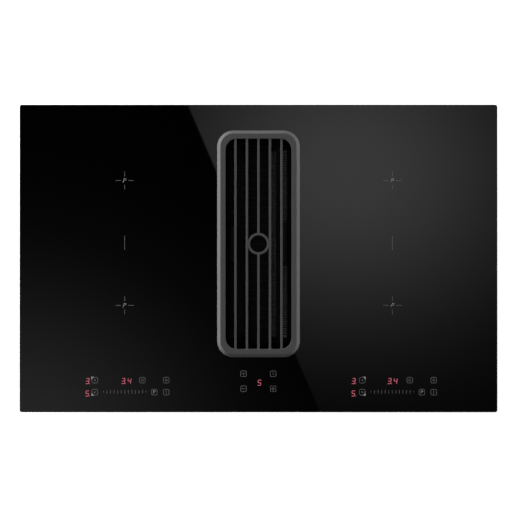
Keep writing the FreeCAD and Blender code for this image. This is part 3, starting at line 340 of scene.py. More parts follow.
def glass_ceramic(name, shade):
    """Black glass with a trace of wiping marks in its gloss."""
    finish = Finish(name)
    wipes = finish.noise(7, 4, 0.55, (1, 0.35, 1))
    tint = finish.tones(finish.noise(240, 2), shade, 0.9, 1.1)
    return finish.surface(base_color=tint, roughness=0.004 + wipes * 0.012, IOR=1.5)


def enamel(name, shade):
    """Satin enamel over cast metal, with orange peel and a fine fleck."""
    finish = Finish(name)
    peel = finish.noise(520, 2)
    cloud = finish.noise(18, 4)
    fleck = finish.noise(4200, 1)
    return finish.surface(
        base_color=finish.tones(cloud * 0.6 + fleck * 0.4, shade, 0.86, 1.16),
        roughness=0.44 + cloud * 0.08 + fleck * 0.06,
        specular_IOR_level=0.25,
        normal=finish.bump(peel * 0.7 + fleck * 0.3, 0.25, 0.06 * MM),
    )


def coated(name, shade):
    """Baked black sheet; the perforated flanks of the filter show more of the brushed steel, with painted
    light that makes the right flanks lighter than the left ones, and painted shade that darkens the rim
    under the grille's frame.
    """
    finish = Finish(name)
    lines = finish.noise(1500, 2, 0.6, (0.02, 1, 1))
    cloud = finish.noise(16, 3)
    x, y, z = finish.axes("XYZ")
    middle, slots_end, handle_end = 24.5 * MM, 158 * MM, 36 * MM
    half_floor, crest_level, painted_shade_rim_level = 19 * MM, -60.85 * MM, -8.8 * MM
    upper_flank, lower_flank = (-26.6 * MM, -8.6 * MM), (-61.6 * MM, -29 * MM)

    def fade(distance, width=MM):
        return (distance / width).clamped()

    def layer(low, high):
        return fade(z - low) * fade(high - z)

    along = abs(y - middle)
    plain_end = fade(slots_end - along, 2 * MM)
    beside_handle = fade(along - handle_end, 6 * MM) * 0.92 + 0.08
    on_floor = fade(half_floor - abs(x))
    crest = fade(z - crest_level, 0.4 * MM) * on_floor
    # Painted light: the flanks on the right, which face the lamp on the left, are painted lighter than the
    # flanks on the left.
    painted_light_by_side = (x / (40 * MM) + 0.5).clamped() * 0.42 + 0.56
    flank = (layer(*upper_flank) * beside_handle).either(layer(*lower_flank) * (1 - on_floor)) * plain_end
    grain = lines * 0.55 + cloud * 0.45
    baked = finish.tones(grain, shade, 0.75, 1.2)
    brushed = finish.tones(grain, shade, 12, 17.5)
    # Bare steel of the perforated flanks with their painted light, and ridge crests a little lighter.
    bare_steel_and_painted_light = finish.blend((flank * painted_light_by_side).either(crest * 0.07), baked, brushed)
    return finish.surface(
        # Painted shade: the rim, in the shade of the grille's frame, is painted darker than the rest of the
        # coating.
        base_color=finish.blend(fade(z - painted_shade_rim_level), bare_steel_and_painted_light, scaled(shade, 0.2)),
        roughness=0.42 + lines * 0.1 + cloud * 0.06,
        specular_IOR_level=0.03,
        normal=finish.bump(lines, 0.1, 0.03 * MM),
    )


def spangled(name, shade):
    """Hot-dip zinc: small crystals of slightly different grey, dulled by handling."""
    finish = Finish(name)
    crystal = finish.channel(finish.cells(210), "Red")
    frost = finish.noise(700, 3, 0.6)
    cloud = finish.noise(11, 3)
    return finish.surface(
        base_color=finish.tones(crystal * 0.45 + frost * 0.2 + cloud * 0.35, shade, 0.84, 1.1),
        metallic=1.0,
        roughness=0.36 + crystal * 0.08 + cloud * 0.12,
        normal=finish.bump(frost, 0.08, 0.04 * MM),
    )


def foamed(name, shade):
    """Closed-cell foam: a skin of small cells."""
    finish = Finish(name)
    cell = finish.cells(1500, "Distance")
    return finish.surface(
        base_color=finish.tones((cell * 1.6).clamped(), shade, 1.3, 0.6),
        roughness=0.9 + finish.noise(60, 2) * 0.08,
        normal=finish.bump(cell, 0.5, 0.2 * MM),
    )


def wound(name, shade):
    """Stranded copper under clear enamel."""
    finish = Finish(name)
    strand = finish.noise(900, 3, 0.6)
    twist = finish.noise(160, 2)
    return finish.surface(
        base_color=finish.tones(strand * 0.6 + twist * 0.4, shade, 0.55, 1.35),
        metallic=0.85,
        roughness=0.3 + strand * 0.2,
        normal=finish.bump(strand, 0.5, 0.2 * MM),
    )


def flaky(name, shade):
    """Pressed mica: overlapping pale flakes."""
    finish = Finish(name)
    flake = finish.channel(finish.cells(190), "Green")
    cloud = finish.noise(30, 3)
    return finish.surface(
        base_color=finish.tones(flake * 0.6 + cloud * 0.4, shade, 0.75, 1.2),
        roughness=0.32 + flake * 0.2,
        normal=finish.bump(flake, 0.1, 0.1 * MM),
    )


def lacquered_board(name, shade):
    """Circuit board: lacquer over copper tracks."""
    finish = Finish(name)
    settings = {"offset": 0.37, "squash": 0.6, "squash_frequency": 3}
    inputs = {"Vector": finish.place(), "Scale": 95, "Mortar Size": 0.045}
    for socket, factor in (("Color1", 1.0), ("Color2", 1.25), ("Mortar", 0.55)):
        inputs[socket] = opaque(scaled(shade, factor))
    tracks = finish.node("ShaderNodeTexBrick", settings, inputs)
    cloud = finish.noise(40, 2)
    tint = finish.blend(cloud * 0.35, tracks, scaled(shade, 0.8))
    return finish.surface(base_color=tint, roughness=0.3 + cloud * 0.15)


def ink_print(name, shade):
    """Screen-printed ceramic ink, a little uneven."""
    finish = Finish(name)
    grain = finish.noise(3200, 2)
    return finish.surface(base_color=finish.tones(grain, shade, 0.85, 1.12), roughness=0.55 + grain * 0.15)


def glowing(name, shade):
    """Light of a digit seen through dark glass, a little uneven."""
    finish = Finish(name)
    grain = finish.noise(420, 2)
    return finish.surface(
        base_color=finish.tones(grain, shade, 0.04, 0.06),
        roughness=0.3,
        emission_color=finish.tones(grain, shade, 0.8, 1.12),
        emission_strength=1.0,
    )


# Modelling toolkit


KINDS = {"faces": "FACE", "edges": "EDGE", "verts": "VERT"}
ARC_MITRE = {"use_clamp_overlap": True, "loop_slide": False, "miter_outer": "MITER_ARC"}


def ready():
    """Object mode with nothing selected."""
    if bpy.context.object is not None and bpy.context.object.mode != "OBJECT":
        bpy.ops.object.mode_set(mode="OBJECT")
    bpy.ops.object.select_all(action="DESELECT")


def focus(obj):
    ready()
    obj.select_set(True)
    bpy.context.view_layer.objects.active = obj


def place_in_mesh(obj):
    focus(obj)
    bpy.ops.object.transform_apply(location=True, rotation=True, scale=True)
    return obj


def plate(wide, deep, at=(0, 0, 0)):
    """A flat rectangle to start from."""
    ready()
    bpy.ops.mesh.primitive_plane_add(size=1, location=at)
    made = bpy.context.object
    made.scale = (wide, deep, 1)
    return place_in_mesh(made)


def block(wide, deep, tall, at):
    """A box to start from."""
    ready()
    bpy.ops.mesh.primitive_cube_add(size=1, location=at)
    made = bpy.context.object
    made.scale = (wide, deep, tall)
    return place_in_mesh(made)


def both_ends(test):
    """A test for edges, from a test that both their ends have to pass."""
    return lambda edge: all(test(vert) for vert in edge.verts)


def runs_along(axis, least=MM):
    """A test for edges that run along an axis."""
    return lambda edge: abs(edge.verts[0].co[axis] - edge.verts[1].co[axis]) > least


def faces_up(face):
    return face.normal.z > 0.99


class Bench:
    """Edit mode on one piece, with faces, edges or points picked by a test."""

    def __init__(self, obj):
        self.obj = obj

    def __enter__(self):
        focus(self.obj)
        bpy.ops.object.mode_set(mode="EDIT")
        return self

    def __exit__(self, kind, error, trace):
        bpy.ops.object.mode_set(mode="OBJECT")

    def pick(self, kind, test=None):
        """Selects all the faces, edges or points that pass the test, and returns how many did."""
        mesh = bmesh.from_edit_mesh(self.obj.data)
        bpy.ops.mesh.select_mode(type=KINDS[kind])
        bpy.ops.mesh.select_all(action="DESELECT")
        count = 0
        for item in getattr(mesh, kind):
            if test is None or test(item):
                item.select_set(True)
                count += 1
        mesh.select_flush_mode()
        bmesh.update_edit_mesh(self.obj.data)
        return count

    def drop(self, kind, test=None, only=None):
        """Deletes all the faces, edges or points that pass the test, and returns how many did."""
        count = self.pick(kind, test)
        bpy.ops.mesh.delete(type=only or KINDS[kind])
        return count

    def extrude(self, x=0, y=0, z=0):
        bpy.ops.mesh.extrude_region_move(TRANSFORM_OT_translate={"value": (x, y, z)})

    def round_corners(self, radius, segments):
        self.pick("verts")
        bpy.ops.mesh.bevel(offset=radius, segments=segments, affect="VERTICES")

    def round_edges(self, test, radius, segments=2):
        self.pick("edges", test)
        bpy.ops.mesh.bevel(offset=radius, segments=segments, affect="EDGES")

    def border(self, stroke):
        """Leaves a border of a flat face with many corners."""
        self.pick("faces")
        bpy.ops.mesh.inset(thickness=stroke)
        self.drop("faces", lambda face: len(face.verts) > 4)

    def first_point(self, x, z):
        """Leaves one point of a plate with sides of 1, moved to y = 0."""
        self.drop("verts", lambda vert: vert.co.x < 0 or vert.co.y < 0)
        self.pick("verts")
        bpy.ops.transform.translate(value=(x - 0.5, -0.5, z))

    def spin(self, steps, angle, centre=(0, 0, 0)):
        """Turns all the points about an upright axis, which leaves a surface."""
        self.pick("verts")
        bpy.ops.mesh.spin(steps=steps, angle=angle, center=centre, axis=(0, 0, 1))
        self.merge()

    def merge(self):
        self.pick("verts")
        bpy.ops.mesh.remove_doubles(threshold=WELD)

    def outward(self):
        self.pick("faces")
        bpy.ops.mesh.normals_make_consistent(inside=False)


def modify(obj, kind, **settings):
    focus(obj)
    modifier = obj.modifiers.new(kind.lower(), kind)
    for name, value in settings.items():
        setattr(modifier, name, value)
    bpy.ops.object.modifier_apply(modifier=modifier.name)
    return obj


def rounded_edges(obj, width, degrees, **settings):
    """Rounds all the edges that are sharper than an angle."""
    angle = math.radians(degrees)
    limit = {"limit_method": "ANGLE", "angle_limit": angle}
    return modify(obj, "BEVEL", width=width, segments=2, **limit, **settings)


def smooth(obj, degrees=35):
    focus(obj)
    bpy.ops.object.shade_smooth_by_angle(angle=math.radians(degrees))
    return modify(obj, "WEIGHTED_NORMAL", keep_sharp=True, weight=70)


def joined(pieces):
    focus(pieces[0])
    for piece in pieces:
        piece.select_set(True)
    bpy.ops.object.join()
    return bpy.context.object


def copied(obj, x=0, y=0, z=0, turn=LEVEL, stretch=(1, 1, 1)):
    """A copy with its own mesh, stretched, turned and moved."""
    focus(obj)
    bpy.ops.object.duplicate(linked=False)
    made = bpy.context.object
    made.scale = stretch
    made.rotation_euler = turn
    made.location = (x, y, z)
    return place_in_mesh(made)


def ring_of(pattern, count):
    """Copies of a pattern, turned about Z in equal steps."""
    return [copied(pattern, turn=(0, 0, math.tau * place / count)) for place in range(count)]


def discarded(*objects):
    for obj in objects:
        focus(obj)
        bpy.ops.object.delete()


def settled(obj, name, body, slot, finish=None, replaced=None):
    """Names the piece, gives it its finish and ties it to its body."""
    place_in_mesh(obj)
    obj.name = name
    obj.data.name = name
    obj.data.materials.clear()
    obj.data.materials.append(finishes[finish or slot].material)
    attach(obj, body)
    if replaced:
        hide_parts(replaced)


def stand_in(obj, node, name):
    """Settles a piece in place of a solid, with its body and its slot."""
    settled(obj, name, body_of[node], slot_of[node], replaced=node)


def set_out(pattern, places, name, slot, finish=None):
    """Copies of a pattern at their places and turns, as one piece of the hob."""
    copies = [copied(pattern, x, y, z, turn) for x, y, z, turn in places]
    settled(joined(copies), name, "hob", slot, finish)


def solid_copy(node):
    """A copy of a solid's mesh, with its triangles joined in pairs."""
    focus(frame["nodes"][node])
    bpy.ops.object.duplicate(linked=False)
    made = bpy.context.object
    made.parent = None
    for key in list(made.keys()):
        del made[key]
    with Bench(made) as bench:
        bench.merge()
        bench.pick("faces")
        flat = math.radians(0.6)
        bpy.ops.mesh.tris_convert_to_quads(face_threshold=flat, shape_threshold=math.pi)
    return made


def softened(node, ending, radius):
    """A solid with its sharp edges rounded, in place of the plain one."""
    made = rounded_edges(solid_copy(node), radius, 40, **ARC_MITRE)
    stand_in(smooth(made), node, f"{node}_{ending}")


def screw_head(radius):
    """A pan head with a six-lobed recess, its foot sunk a little below the origin."""
    depth, lobes, waisting = radius * 0.85, 6, 0.72
    sunk, rounding, land, recess = depth * 0.2, radius * 0.32, radius * 0.22, radius * 0.45
    middle = (0, 0, depth / 2 - sunk)
    near_top = (depth - sunk) * 0.9
    ready()
    bpy.ops.mesh.primitive_cylinder_add(vertices=lobes * 2, radius=radius, depth=depth, location=middle)
    head = place_in_mesh(bpy.context.object)

    def waist(vert):
        lobe = round(math.atan2(vert.co.y, vert.co.x) / (math.pi / lobes))
        return vert.co.z > near_top and vert.co.xy.length < radius / 2 and lobe % 2 == 0

    def recess_top(face):
        return faces_up(face) and face.calc_center_median().xy.length < radius * 0.05

    with Bench(head) as bench:
        bench.round_edges(both_ends(lambda vert: vert.co.z > near_top), rounding, 3)
        bench.pick("faces", faces_up)
        bpy.ops.mesh.inset(thickness=land)
        bench.pick("verts", waist)
        bpy.ops.transform.resize(value=(waisting, waisting, 1))
        bench.pick("faces", recess_top)
        bench.extrude(z=-recess)
    return smooth(head, 40)


def rib(proud, thickness, height):
    """A moulding rib on the plane x = 0 that hangs down from z = 0 and thins out below."""
    sunk, taper = 0.5 * MM, proud * 0.6
    made = block(proud + sunk, thickness, height, ((proud - sunk) / 2, 0, -height / 2))
    with Bench(made) as bench:
        bench.pick("verts", lambda vert: vert.co.x > 0 and vert.co.z < -height / 2)
        bpy.ops.transform.translate(value=(-taper, 0, 0))
        bench.round_edges(both_ends(lambda vert: vert.co.x > 0), thickness / 4)
    return smooth(made, 40)


def pressed_bead(along, across, proud):
    """A pressed bead with round ends on the plane z = 0, along X."""
    sunk, step = 0.3 * MM, across * 0.12
    wall_rise, crown_rises = proud * 0.3, (proud * 0.45, proud * 0.2, proud * 0.05)
    bead = plate(along, across, (0, 0, -sunk))

    def crown(face):
        return faces_up(face) and face.calc_center_median().z > -sunk / 2

    with Bench(bead) as bench:
        bench.round_corners(across * 0.49, 6)
        bench.pick("faces")
        bench.extrude(z=sunk + wall_rise)
        for rise in crown_rises:
            bench.pick("faces", crown)
            bpy.ops.mesh.inset(thickness=step, depth=rise)
        bench.outward()
    return smooth(bead, 50)


def band(wide, high, corner, depth, thickness):
    """A closed band round a rectangle with rounded corners, about the origin, along Z."""
    made = plate(wide, high)
    with Bench(made) as bench:
        bench.round_corners(corner, 6)
        bench.drop("faces", only="ONLY_FACE")
        bench.pick("edges")
        bench.extrude(z=depth)
        bench.outward()
    modify(made, "SOLIDIFY", thickness=thickness, offset=1)
    return smooth(rounded_edges(made, thickness * 0.4, 50), 40)


def lathe(points, steps):
    """A profile of (radius, height) points turned about Z."""
    made = plate(1, 1)
    with Bench(made) as bench:
        bench.first_point(*points[0])
        for before, after in zip(points, points[1:]):
            bench.extrude(after[0] - before[0], 0, after[1] - before[1])
        bench.spin(steps, math.tau)
        bench.outward()
    return made


# Printed marks


# Height of a capital, as a share of the font's size
CAPITAL = 0.72
# Place of a segment across and up a digit, and whether it stands upright
SEGMENTS = {
    "a": (0, 1, False),
    "b": (1, 0.5, True),
    "c": (1, -0.5, True),
    "d": (0, -1, False),
    "f": (-1, 0.5, True),
    "g": (0, 0, False),
}
# Segments of each figure that is lit
LIT = {"3": "abcdg", "4": "bcfg", "5": "acdfg"}


def bar_mark(x, y, across, along):
    return plate(across, along, (x, y, 0))


def disc(radius, x, y, sides=16):
    ready()
    bpy.ops.mesh.primitive_circle_add(vertices=sides, radius=radius, fill_type="NGON", location=(x, y, 0))
    return place_in_mesh(bpy.context.object)


def ring_outline(radius, stroke, x, y):
    ring = disc(radius, x, y, 28)
    with Bench(ring) as bench:
        bench.border(stroke)
    return ring


def key_outline(prints):
    """A square outline with rounded corners, about the origin."""
    key = plate(prints.key, prints.key)
    with Bench(key) as bench:
        bench.round_corners(prints.key_corner, 5)
        bench.border(prints.stroke)
    return key


def letter(body, height, lean, x, y):
    """A letter as a flat mesh, centred."""
    ready()
    bpy.ops.object.text_add()
    words = bpy.context.object
    words.data.body = body
    words.data.size = height / CAPITAL
    words.data.shear = lean
    words.data.resolution_u = 4
    words.data.offset = height * 0.01
    bpy.ops.object.convert(target="MESH")
    made = bpy.context.object
    with Bench(made) as bench:
        bench.merge()
        bench.pick("faces")
        bpy.ops.mesh.dissolve_limited(angle_limit=math.radians(1))
    corners = [Vector(corner) for corner in made.bound_box]
    middle = (corners[0] + corners[6]) / 2
    made.location = (x - middle.x, y - middle.y, 0)
    return place_in_mesh(made)


def raised(pieces, name, slot, finish, prints, coats=1.0):
    """Joins flat marks and gives them the thickness of one or more coats of ink on the glass."""
    sunk = prints.ink * 0.2
    made = joined(pieces)
    with Bench(made) as bench:
        bench.pick("verts")
        bpy.ops.transform.translate(value=(0, 0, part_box("glass_panel")[1].z - sunk))
        bench.pick("faces")
        bench.extrude(z=prints.ink * coats + sunk)
        bench.outward()
    settled(made, name, "hob", slot, finish)


def lit_digit(figure, x, y, prints, weight, point=False):
    """A leaning digit of lit segments, as flat pieces whose strokes have the given weight."""
    half_width, half_height = prints.digit_width / 2, prints.digit_height / 2
    stroke = prints.stroke * weight
    gap = prints.stroke * 0.3 - (stroke - prints.stroke) / 2
    made = []
    for name in LIT[figure]:
        across, up, upright = SEGMENTS[name]
        run = half_height if upright else prints.digit_width
        bar = plate(run - gap, stroke)
        with Bench(bar) as bench:
            bench.round_corners(stroke * 0.42, 1)
        height = up * half_height
        bar.rotation_euler.z = QUARTER - prints.slant if upright else 0
        bar.location = (x + across * half_width + height * prints.slant, y + height, 0)
        made.append(place_in_mesh(bar))
    if point:
        radius, beside = stroke * 0.7, half_width * 1.75
        made.append(disc(radius, x + beside - half_height * prints.slant, y - half_height, 10))
    return made


# Pieces


class COOKTOP_OT_finishes(bpy.types.Operator):
    """Makes every finish and gives each solid its own"""

    bl_idname = "cooktop.finishes"
    bl_label = "Finishes"

    def execute(self, context):
        tone = context.scene.cooktop_finishes
        prints = context.scene.cooktop_prints
        made = {
            "glass": glass_ceramic("black_glass_ceramic", tone.glass),
            "enamel": enamel("anthracite_enamel", tone.enamel),
            "stainless": coated("black_filter_coating", tone.coated),
            "galvanised": spangled("zinc_coated_sheet", tone.galvanised),
            "housing": moulded("black_moulding", tone.housing),
            "tray_plastic": moulded("tray_moulding", (0.05, 0.05, 0.053), 0.42, 1800),
            "carrier": moulded("carrier_moulding", (0.03, 0.03, 0.033), 0.55),
            "impeller": moulded("impeller_moulding", (0.045, 0.047, 0.052), 0.45, 2000),
            "former": moulded("former_moulding", (0.52, 0.5, 0.44)),
            "sensor": moulded("sensor_cap", (0.6, 0.58, 0.53), 0.6),
            "terminal": moulded("terminal_moulding", (0.35, 0.35, 0.34), 0.45),
            "component": moulded("component_case", (0.05, 0.06, 0.09), 0.35, 1400),
            "motor": moulded("motor_paint", (0.09, 0.1, 0.11), 0.4, 900, 0.08 * MM),
            "silicone": moulded("black_silicone", (0.03, 0.03, 0.03), 0.68, 1500, 0.06 * MM),
            "ferrite": moulded("ferrite", (0.045, 0.042, 0.042), 0.66, 700, 0.1 * MM),
            "display": moulded("display_window", (0.02, 0.008, 0.009), 0.14, 600, 0.01 * MM),
            "aluminium": drawn("rolled_aluminium", (0.72, 0.73, 0.74), 0.34),
            "screw": drawn("bright_zinc", (0.6, 0.6, 0.59), 0.3, (1, 1, 1)),
            "shaft": drawn("turned_steel", (0.52, 0.52, 0.51), 0.26, (0.4, 0.4, 3)),
            "foam": foamed("black_foam", (0.03, 0.03, 0.031)),
            "litz": wound("stranded_copper", tone.copper),
            "mica": flaky("pressed_mica", (0.55, 0.46, 0.32)),
            "board": lacquered_board("board_lacquer", tone.board),
            "ink": ink_print("grey_ink", prints.ink_colour),
            "wedge": ink_print("pale_ink", prints.wedge_colour),
            "lit": glowing("lit_red", prints.lit_colour),
            "halo": glowing("red_halo", prints.halo_colour),
        }
        finishes.update(made)
        for name, node in frame["nodes"].items():
            node.data.materials.clear()
            node.data.materials.append(finishes[slot_of[name]].material)
        return {"FINISHED"}


class COOKTOP_OT_grille(bpy.types.Operator):
    """Rounds the cast grille and fills the corners of its bars, its finger ring and its frame"""

    bl_idname = "cooktop.grille"
    bl_label = "Intake grille"

    def execute(self, context):
        work = context.scene.cooktop_metalwork
        low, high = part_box("intake_grille")
        middle = (low.y + high.y) / 2
        end = (high.y - low.y) / 2 - work.frame_width
        half = work.bar_width / 2
        inner_x, inner_y = high.x - work.frame_width + work.fill_lap, end + work.fill_lap
        on_ring, ring_share = work.ring_radius - 0.3 * MM, 0.8
        beside_ring, share_across, share_along = 4.4 * MM, 0.5, 1.8
        pieces = [rounded_edges(solid_copy("intake_grille"), work.cast_edge, 30, **ARC_MITRE)]
        bar_bottom, bar_top = high.z - 9 * MM, high.z - 0.85 * MM
        fillet = self.fillet(work.bar_fillet, bar_bottom, bar_top)
        gusset_bottom, gusset_top, gusset_steps = high.z - 7.3 * MM, high.z - 0.02 * MM, 14
        gusset = self.fillet(work.corner_fill, gusset_bottom, gusset_top, gusset_steps, work.cast_edge)
        for side in SIDES:
            for way in SIDES:
                for bar in range(-2, 3):
                    x = bar * work.bar_pitch + side * half
                    pieces.append(copied(fillet, x, middle + way * end, stretch=(side, -way, 1)))
                stretch = (side * ring_share, way * ring_share, 1)
                pieces.append(copied(fillet, side * half, middle + way * on_ring, stretch=stretch))
                stretch = (-side * share_across, way * share_along, 1)
                x = side * (work.bar_pitch - half)
                pieces.append(copied(fillet, x, middle + way * beside_ring, stretch=stretch))
                stretch = (-side, -way, 1)
                pieces.append(copied(gusset, side * inner_x, middle + way * inner_y, stretch=stretch))
        discarded(fillet, gusset)
        grille = joined(pieces)
        with Bench(grille) as bench:
            bench.outward()
        stand_in(smooth(grille, 32), "intake_grille", "intake_grille_cast")
        return {"FINISHED"}

    @staticmethod
    def fillet(radius, bottom, top, steps=5, edge=0):
        """Concave fill of the corner at the origin, between +X and +Y, its upper rim rounded by edge."""
        fill = plate(radius, radius, (radius / 2, radius / 2, bottom))

        def on_rim(vert):
            return vert.co.z > top - edge and min(vert.co.x, vert.co.y) > radius / 100

        with Bench(fill) as bench:
            bench.pick("verts", lambda vert: min(vert.co.x, vert.co.y) > radius / 2)
            bpy.ops.mesh.bevel(offset=radius * 0.97, segments=steps, profile=0.08, affect="VERTICES")
            bench.pick("faces")
            bench.extrude(z=top - bottom)
            bench.outward()
            if edge:
                bench.round_edges(both_ends(on_rim), edge)
        return fill


class COOKTOP_OT_filter(bpy.types.Operator):
    """Forms the grease filter from sheet: stepped trough, fine slots, ridged floor, rim and ends"""

    bl_idname = "cooktop.filter"
    bl_label = "Grease filter"

    def execute(self, context):
        work = context.scene.cooktop_metalwork
        low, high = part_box("grease_filter")
        middle_y = (low.y + high.y) / 2
        top, floor = high.z - work.sheet / 2, low.z + work.sheet / 2
        shelf = top - 20.6 * MM
        end = 165.5 * MM
        floor_x, neck_x, shelf_x, mouth_x = 20.5 * MM, 30.5 * MM, 39.5 * MM, 49.5 * MM
        ridge_x = floor_x * 0.86
        ridge_rows, bays = 8, 24
        lower_slots, upper_slots = (0.1, 0.9), (0.14, 0.86)
        sheet = plate(ridge_x, end * 2, (ridge_x / 2, middle_y, floor))
        path = [(ridge_x, floor), (floor_x, floor)]
        for share in (*lower_slots, 1):
            path.append((floor_x + (neck_x - floor_x) * share, floor + (shelf - floor) * share))
        path.append((shelf_x, shelf))
        for share in (*upper_slots, 1):
            path.append((shelf_x + (mouth_x - shelf_x) * share, shelf + (top - shelf) * share))
        lower_from, lower_to, upper_from, upper_to = (path[bend][0] for bend in (2, 3, 6, 7))
        bay_rows = round(end * 4 / work.slot_pitch / bays)
        row_depth = end * 2 / (bays * bay_rows)

        def row_of(y):
            return (y - middle_y + end) / row_depth

        def slotted(face):
            middle = face.calc_center_median()
            along = abs(middle.y - middle_y)
            if along > work.slot_end or int(row_of(middle.y)) % 2:
                return False
            lower = lower_from < middle.x < lower_to
            upper = upper_from < middle.x < upper_to
            return lower or (upper and along > work.handle_clear)

        def on_ridge(vert):
            inside = abs(vert.co.y - middle_y) < work.slot_end and vert.co.x < ridge_x + WELD
            return inside and round(row_of(vert.co.y)) % ridge_rows == ridge_rows // 2

        with Bench(sheet) as bench:
            bench.pick("edges", both_ends(lambda vert: abs(vert.co.x - ridge_x) < WELD))
            for before, after in zip(path, path[1:]):
                bench.extrude(after[0] - before[0], 0, after[1] - before[1])
            for parts in (bays, bay_rows):
                bench.pick("edges", runs_along(1, WELD))
                bpy.ops.mesh.subdivide(number_cuts=parts - 1)
            if not bench.pick("verts", on_ridge):
                raise RuntimeError("the filter's floor has no ridges")
            bpy.ops.transform.translate(value=(0, 0, work.ridge))
            if not bench.drop("faces", slotted):
                raise RuntimeError("the filter has no slots")
        modify(sheet, "MIRROR", use_axis=(True, False, False), use_clip=True, merge_threshold=WELD)
        for side in SIDES:
            wall = middle_y + end * side
            on_wall = both_ends(lambda vert: abs(vert.co.y - wall) < WELD)
            with Bench(sheet) as bench:
                bench.pick("edges", lambda edge: edge.is_boundary and on_wall(edge))
                bpy.ops.mesh.edge_face_add()
        sheet = joined([sheet, self.rim(low, high, top)])
        on_top = both_ends(lambda vert: abs(vert.co.z - top) < WELD)
        with Bench(sheet) as bench:
            bench.pick("edges", lambda edge: on_top(edge) and (edge.is_wire or edge.is_boundary))
            bpy.ops.mesh.fill()
            bench.merge()
            bench.outward()
        modify(sheet, "SOLIDIFY", thickness=work.sheet, offset=0, use_even_offset=True)
        stand_in(smooth(sheet, 30), "grease_filter", "grease_filter_sheet")
        return {"FINISHED"}

    @staticmethod
    def rim(low, high, top):
        """The outline of the rim, as edges alone."""
        corner = 16 * MM
        rim = plate(high.x - low.x, high.y - low.y, ((low.x + high.x) / 2, (low.y + high.y) / 2, top))
        with Bench(rim) as bench:
            bench.round_corners(corner, 6)
            bench.drop("faces", only="ONLY_FACE")
        return rim


class COOKTOP_OT_sheetwork(bpy.types.Operator):
    """Rounds the folded edges of the sheet-metal pieces"""

    bl_idname = "cooktop.sheetwork"
    bl_label = "Sheet metal"

    def execute(self, context):
        radius = context.scene.cooktop_metalwork.sheet_edge
        for node in ("hob_casing", "worktop_brackets", "bracket_screws", "filter_handles", "centre_bridge"):
            softened(node, "folded", radius)
        return {"FINISHED"}


class COOKTOP_OT_mouldings(bpy.types.Operator):
    """Rounds the edges of the moulded housings"""

    bl_idname = "cooktop.mouldings"
    bl_label = "Mouldings"

    def execute(self, context):
        work = context.scene.cooktop_metalwork
        housings = ("suction_well", "plenum_box", "blower_lid", "blower_base", "outlet_collar")
        for node in housings + ("blower_driver", "cable_inlet"):
            softened(node, "moulded", work.moulded_edge)
        softened("drip_tray", "moulded", work.tray_edge)
        return {"FINISHED"}


# How far the casing's upper edge stands out past its walls
CASING_LIP = 4 * MM
# Thickness of the flanges of the plenum, the blower and the collar
FLANGE = 3 * MM
RIB_THICKNESS = 2.2 * MM
# The spiral wall's first radius, and its growth with each quarter turn
SCROLL_RADIUS = 122 * MM
SCROLL_STEP = 20 * MM


def scroll_place(angle, grow):
    """A point of the blower's spiral wall, grown outwards, with the direction that faces out."""
    quarter = int(angle // 90)
    x, y = {1: (0, -SCROLL_STEP), 2: (SCROLL_STEP, -SCROLL_STEP), 3: (SCROLL_STEP, 0)}[quarter]
    radius = SCROLL_RADIUS + SCROLL_STEP * quarter + grow
    turn = math.radians(angle)
    return x + radius * math.cos(turn), y + radius * math.sin(turn), turn


class COOKTOP_OT_pressings(bpy.types.Operator):
    """Presses stiffening beads into the casing's sides and louvres into the blower driver"""

    bl_idname = "cooktop.pressings"
    bl_label = "Pressed beads"

    def execute(self, context):
        low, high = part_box("hob_casing")
        side, end = high.x - CASING_LIP, high.y - CASING_LIP
        middle = (low.z + high.z) / 2
        width, proud, bead_x = 11 * MM, 0.9 * MM, 185 * MM
        long_bead = pressed_bead(290 * MM, width, proud)
        short_bead = pressed_bead(170 * MM, width, proud)
        beads = []
        for x in (-bead_x, bead_x):
            beads.append(copied(long_bead, x, end, middle, REAR))
            beads.append(copied(long_bead, x, -end, middle, FRONT))
        for way in SIDES:
            beads.append(copied(short_bead, way * side, 0, middle, (QUARTER, 0, way * QUARTER)))
        settled(joined(beads), "casing_beads", "hob", "galvanised")
        low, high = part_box("blower_driver")
        centre = (low + high) / 2
        slat, pitch, turn = pressed_bead(62 * MM, 4.2 * MM, 1.4 * MM), 6.4 * MM, (QUARTER, 0, -QUARTER)
        places = [(low.x, centre.y, centre.z + row * pitch, turn) for row in range(-2, 3)]
        set_out(slat, places, "driver_louvres", slot_of["blower_driver"])
        discarded(long_bead, short_bead, slat)
        return {"FINISHED"}


class COOKTOP_OT_ribs(bpy.types.Operator):
    """Stands moulding ribs along the walls of the plenum and of the blower's scroll"""

    bl_idname = "cooktop.ribs"
    bl_label = "Ribs"

    def execute(self, context):
        low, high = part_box("plenum_box")
        wall, clear = 10 * MM, 6 * MM
        wall_x, front, rear = high.x - wall, low.y + wall, high.y - wall
        top = high.z - FLANGE
        driver_low, driver_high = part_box("blower_driver")
        first, side_pitch, end_pitch = 40 * MM, 47 * MM, 48 * MM
        places = []
        for row in range(8):
            y = front + first + row * side_pitch
            places.append((wall_x, y, top, LEVEL))
            if not driver_low.y - clear < y < driver_high.y + clear:
                places.append((-wall_x, y, top, (0, 0, math.pi)))
        for row in range(-2, 3):
            places.append((row * end_pitch, rear, top, (0, 0, QUARTER)))
            places.append((row * end_pitch, front, top, (0, 0, -QUARTER)))
        plenum_rib = rib(5 * MM, RIB_THICKNESS, 46 * MM)
        set_out(plenum_rib, places, "plenum_ribs", slot_of["plenum_box"])
        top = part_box("blower_base")[1].z - FLANGE
        wall_x = 204.5 * MM
        places = []
        for angle in range(100, 360, 20):
            x, y, turn = scroll_place(angle, 2.5 * MM)
            places.append((x, y, top, (0, 0, turn)))
        for y in (35, 80, 125, 165):
            places.append((wall_x, y * MM, top, LEVEL))
        scroll_rib = rib(6 * MM, RIB_THICKNESS, 84 * MM)
        set_out(scroll_rib, places, "scroll_ribs", slot_of["blower_base"])
        discarded(plenum_rib, scroll_rib)
        return {"FINISHED"}


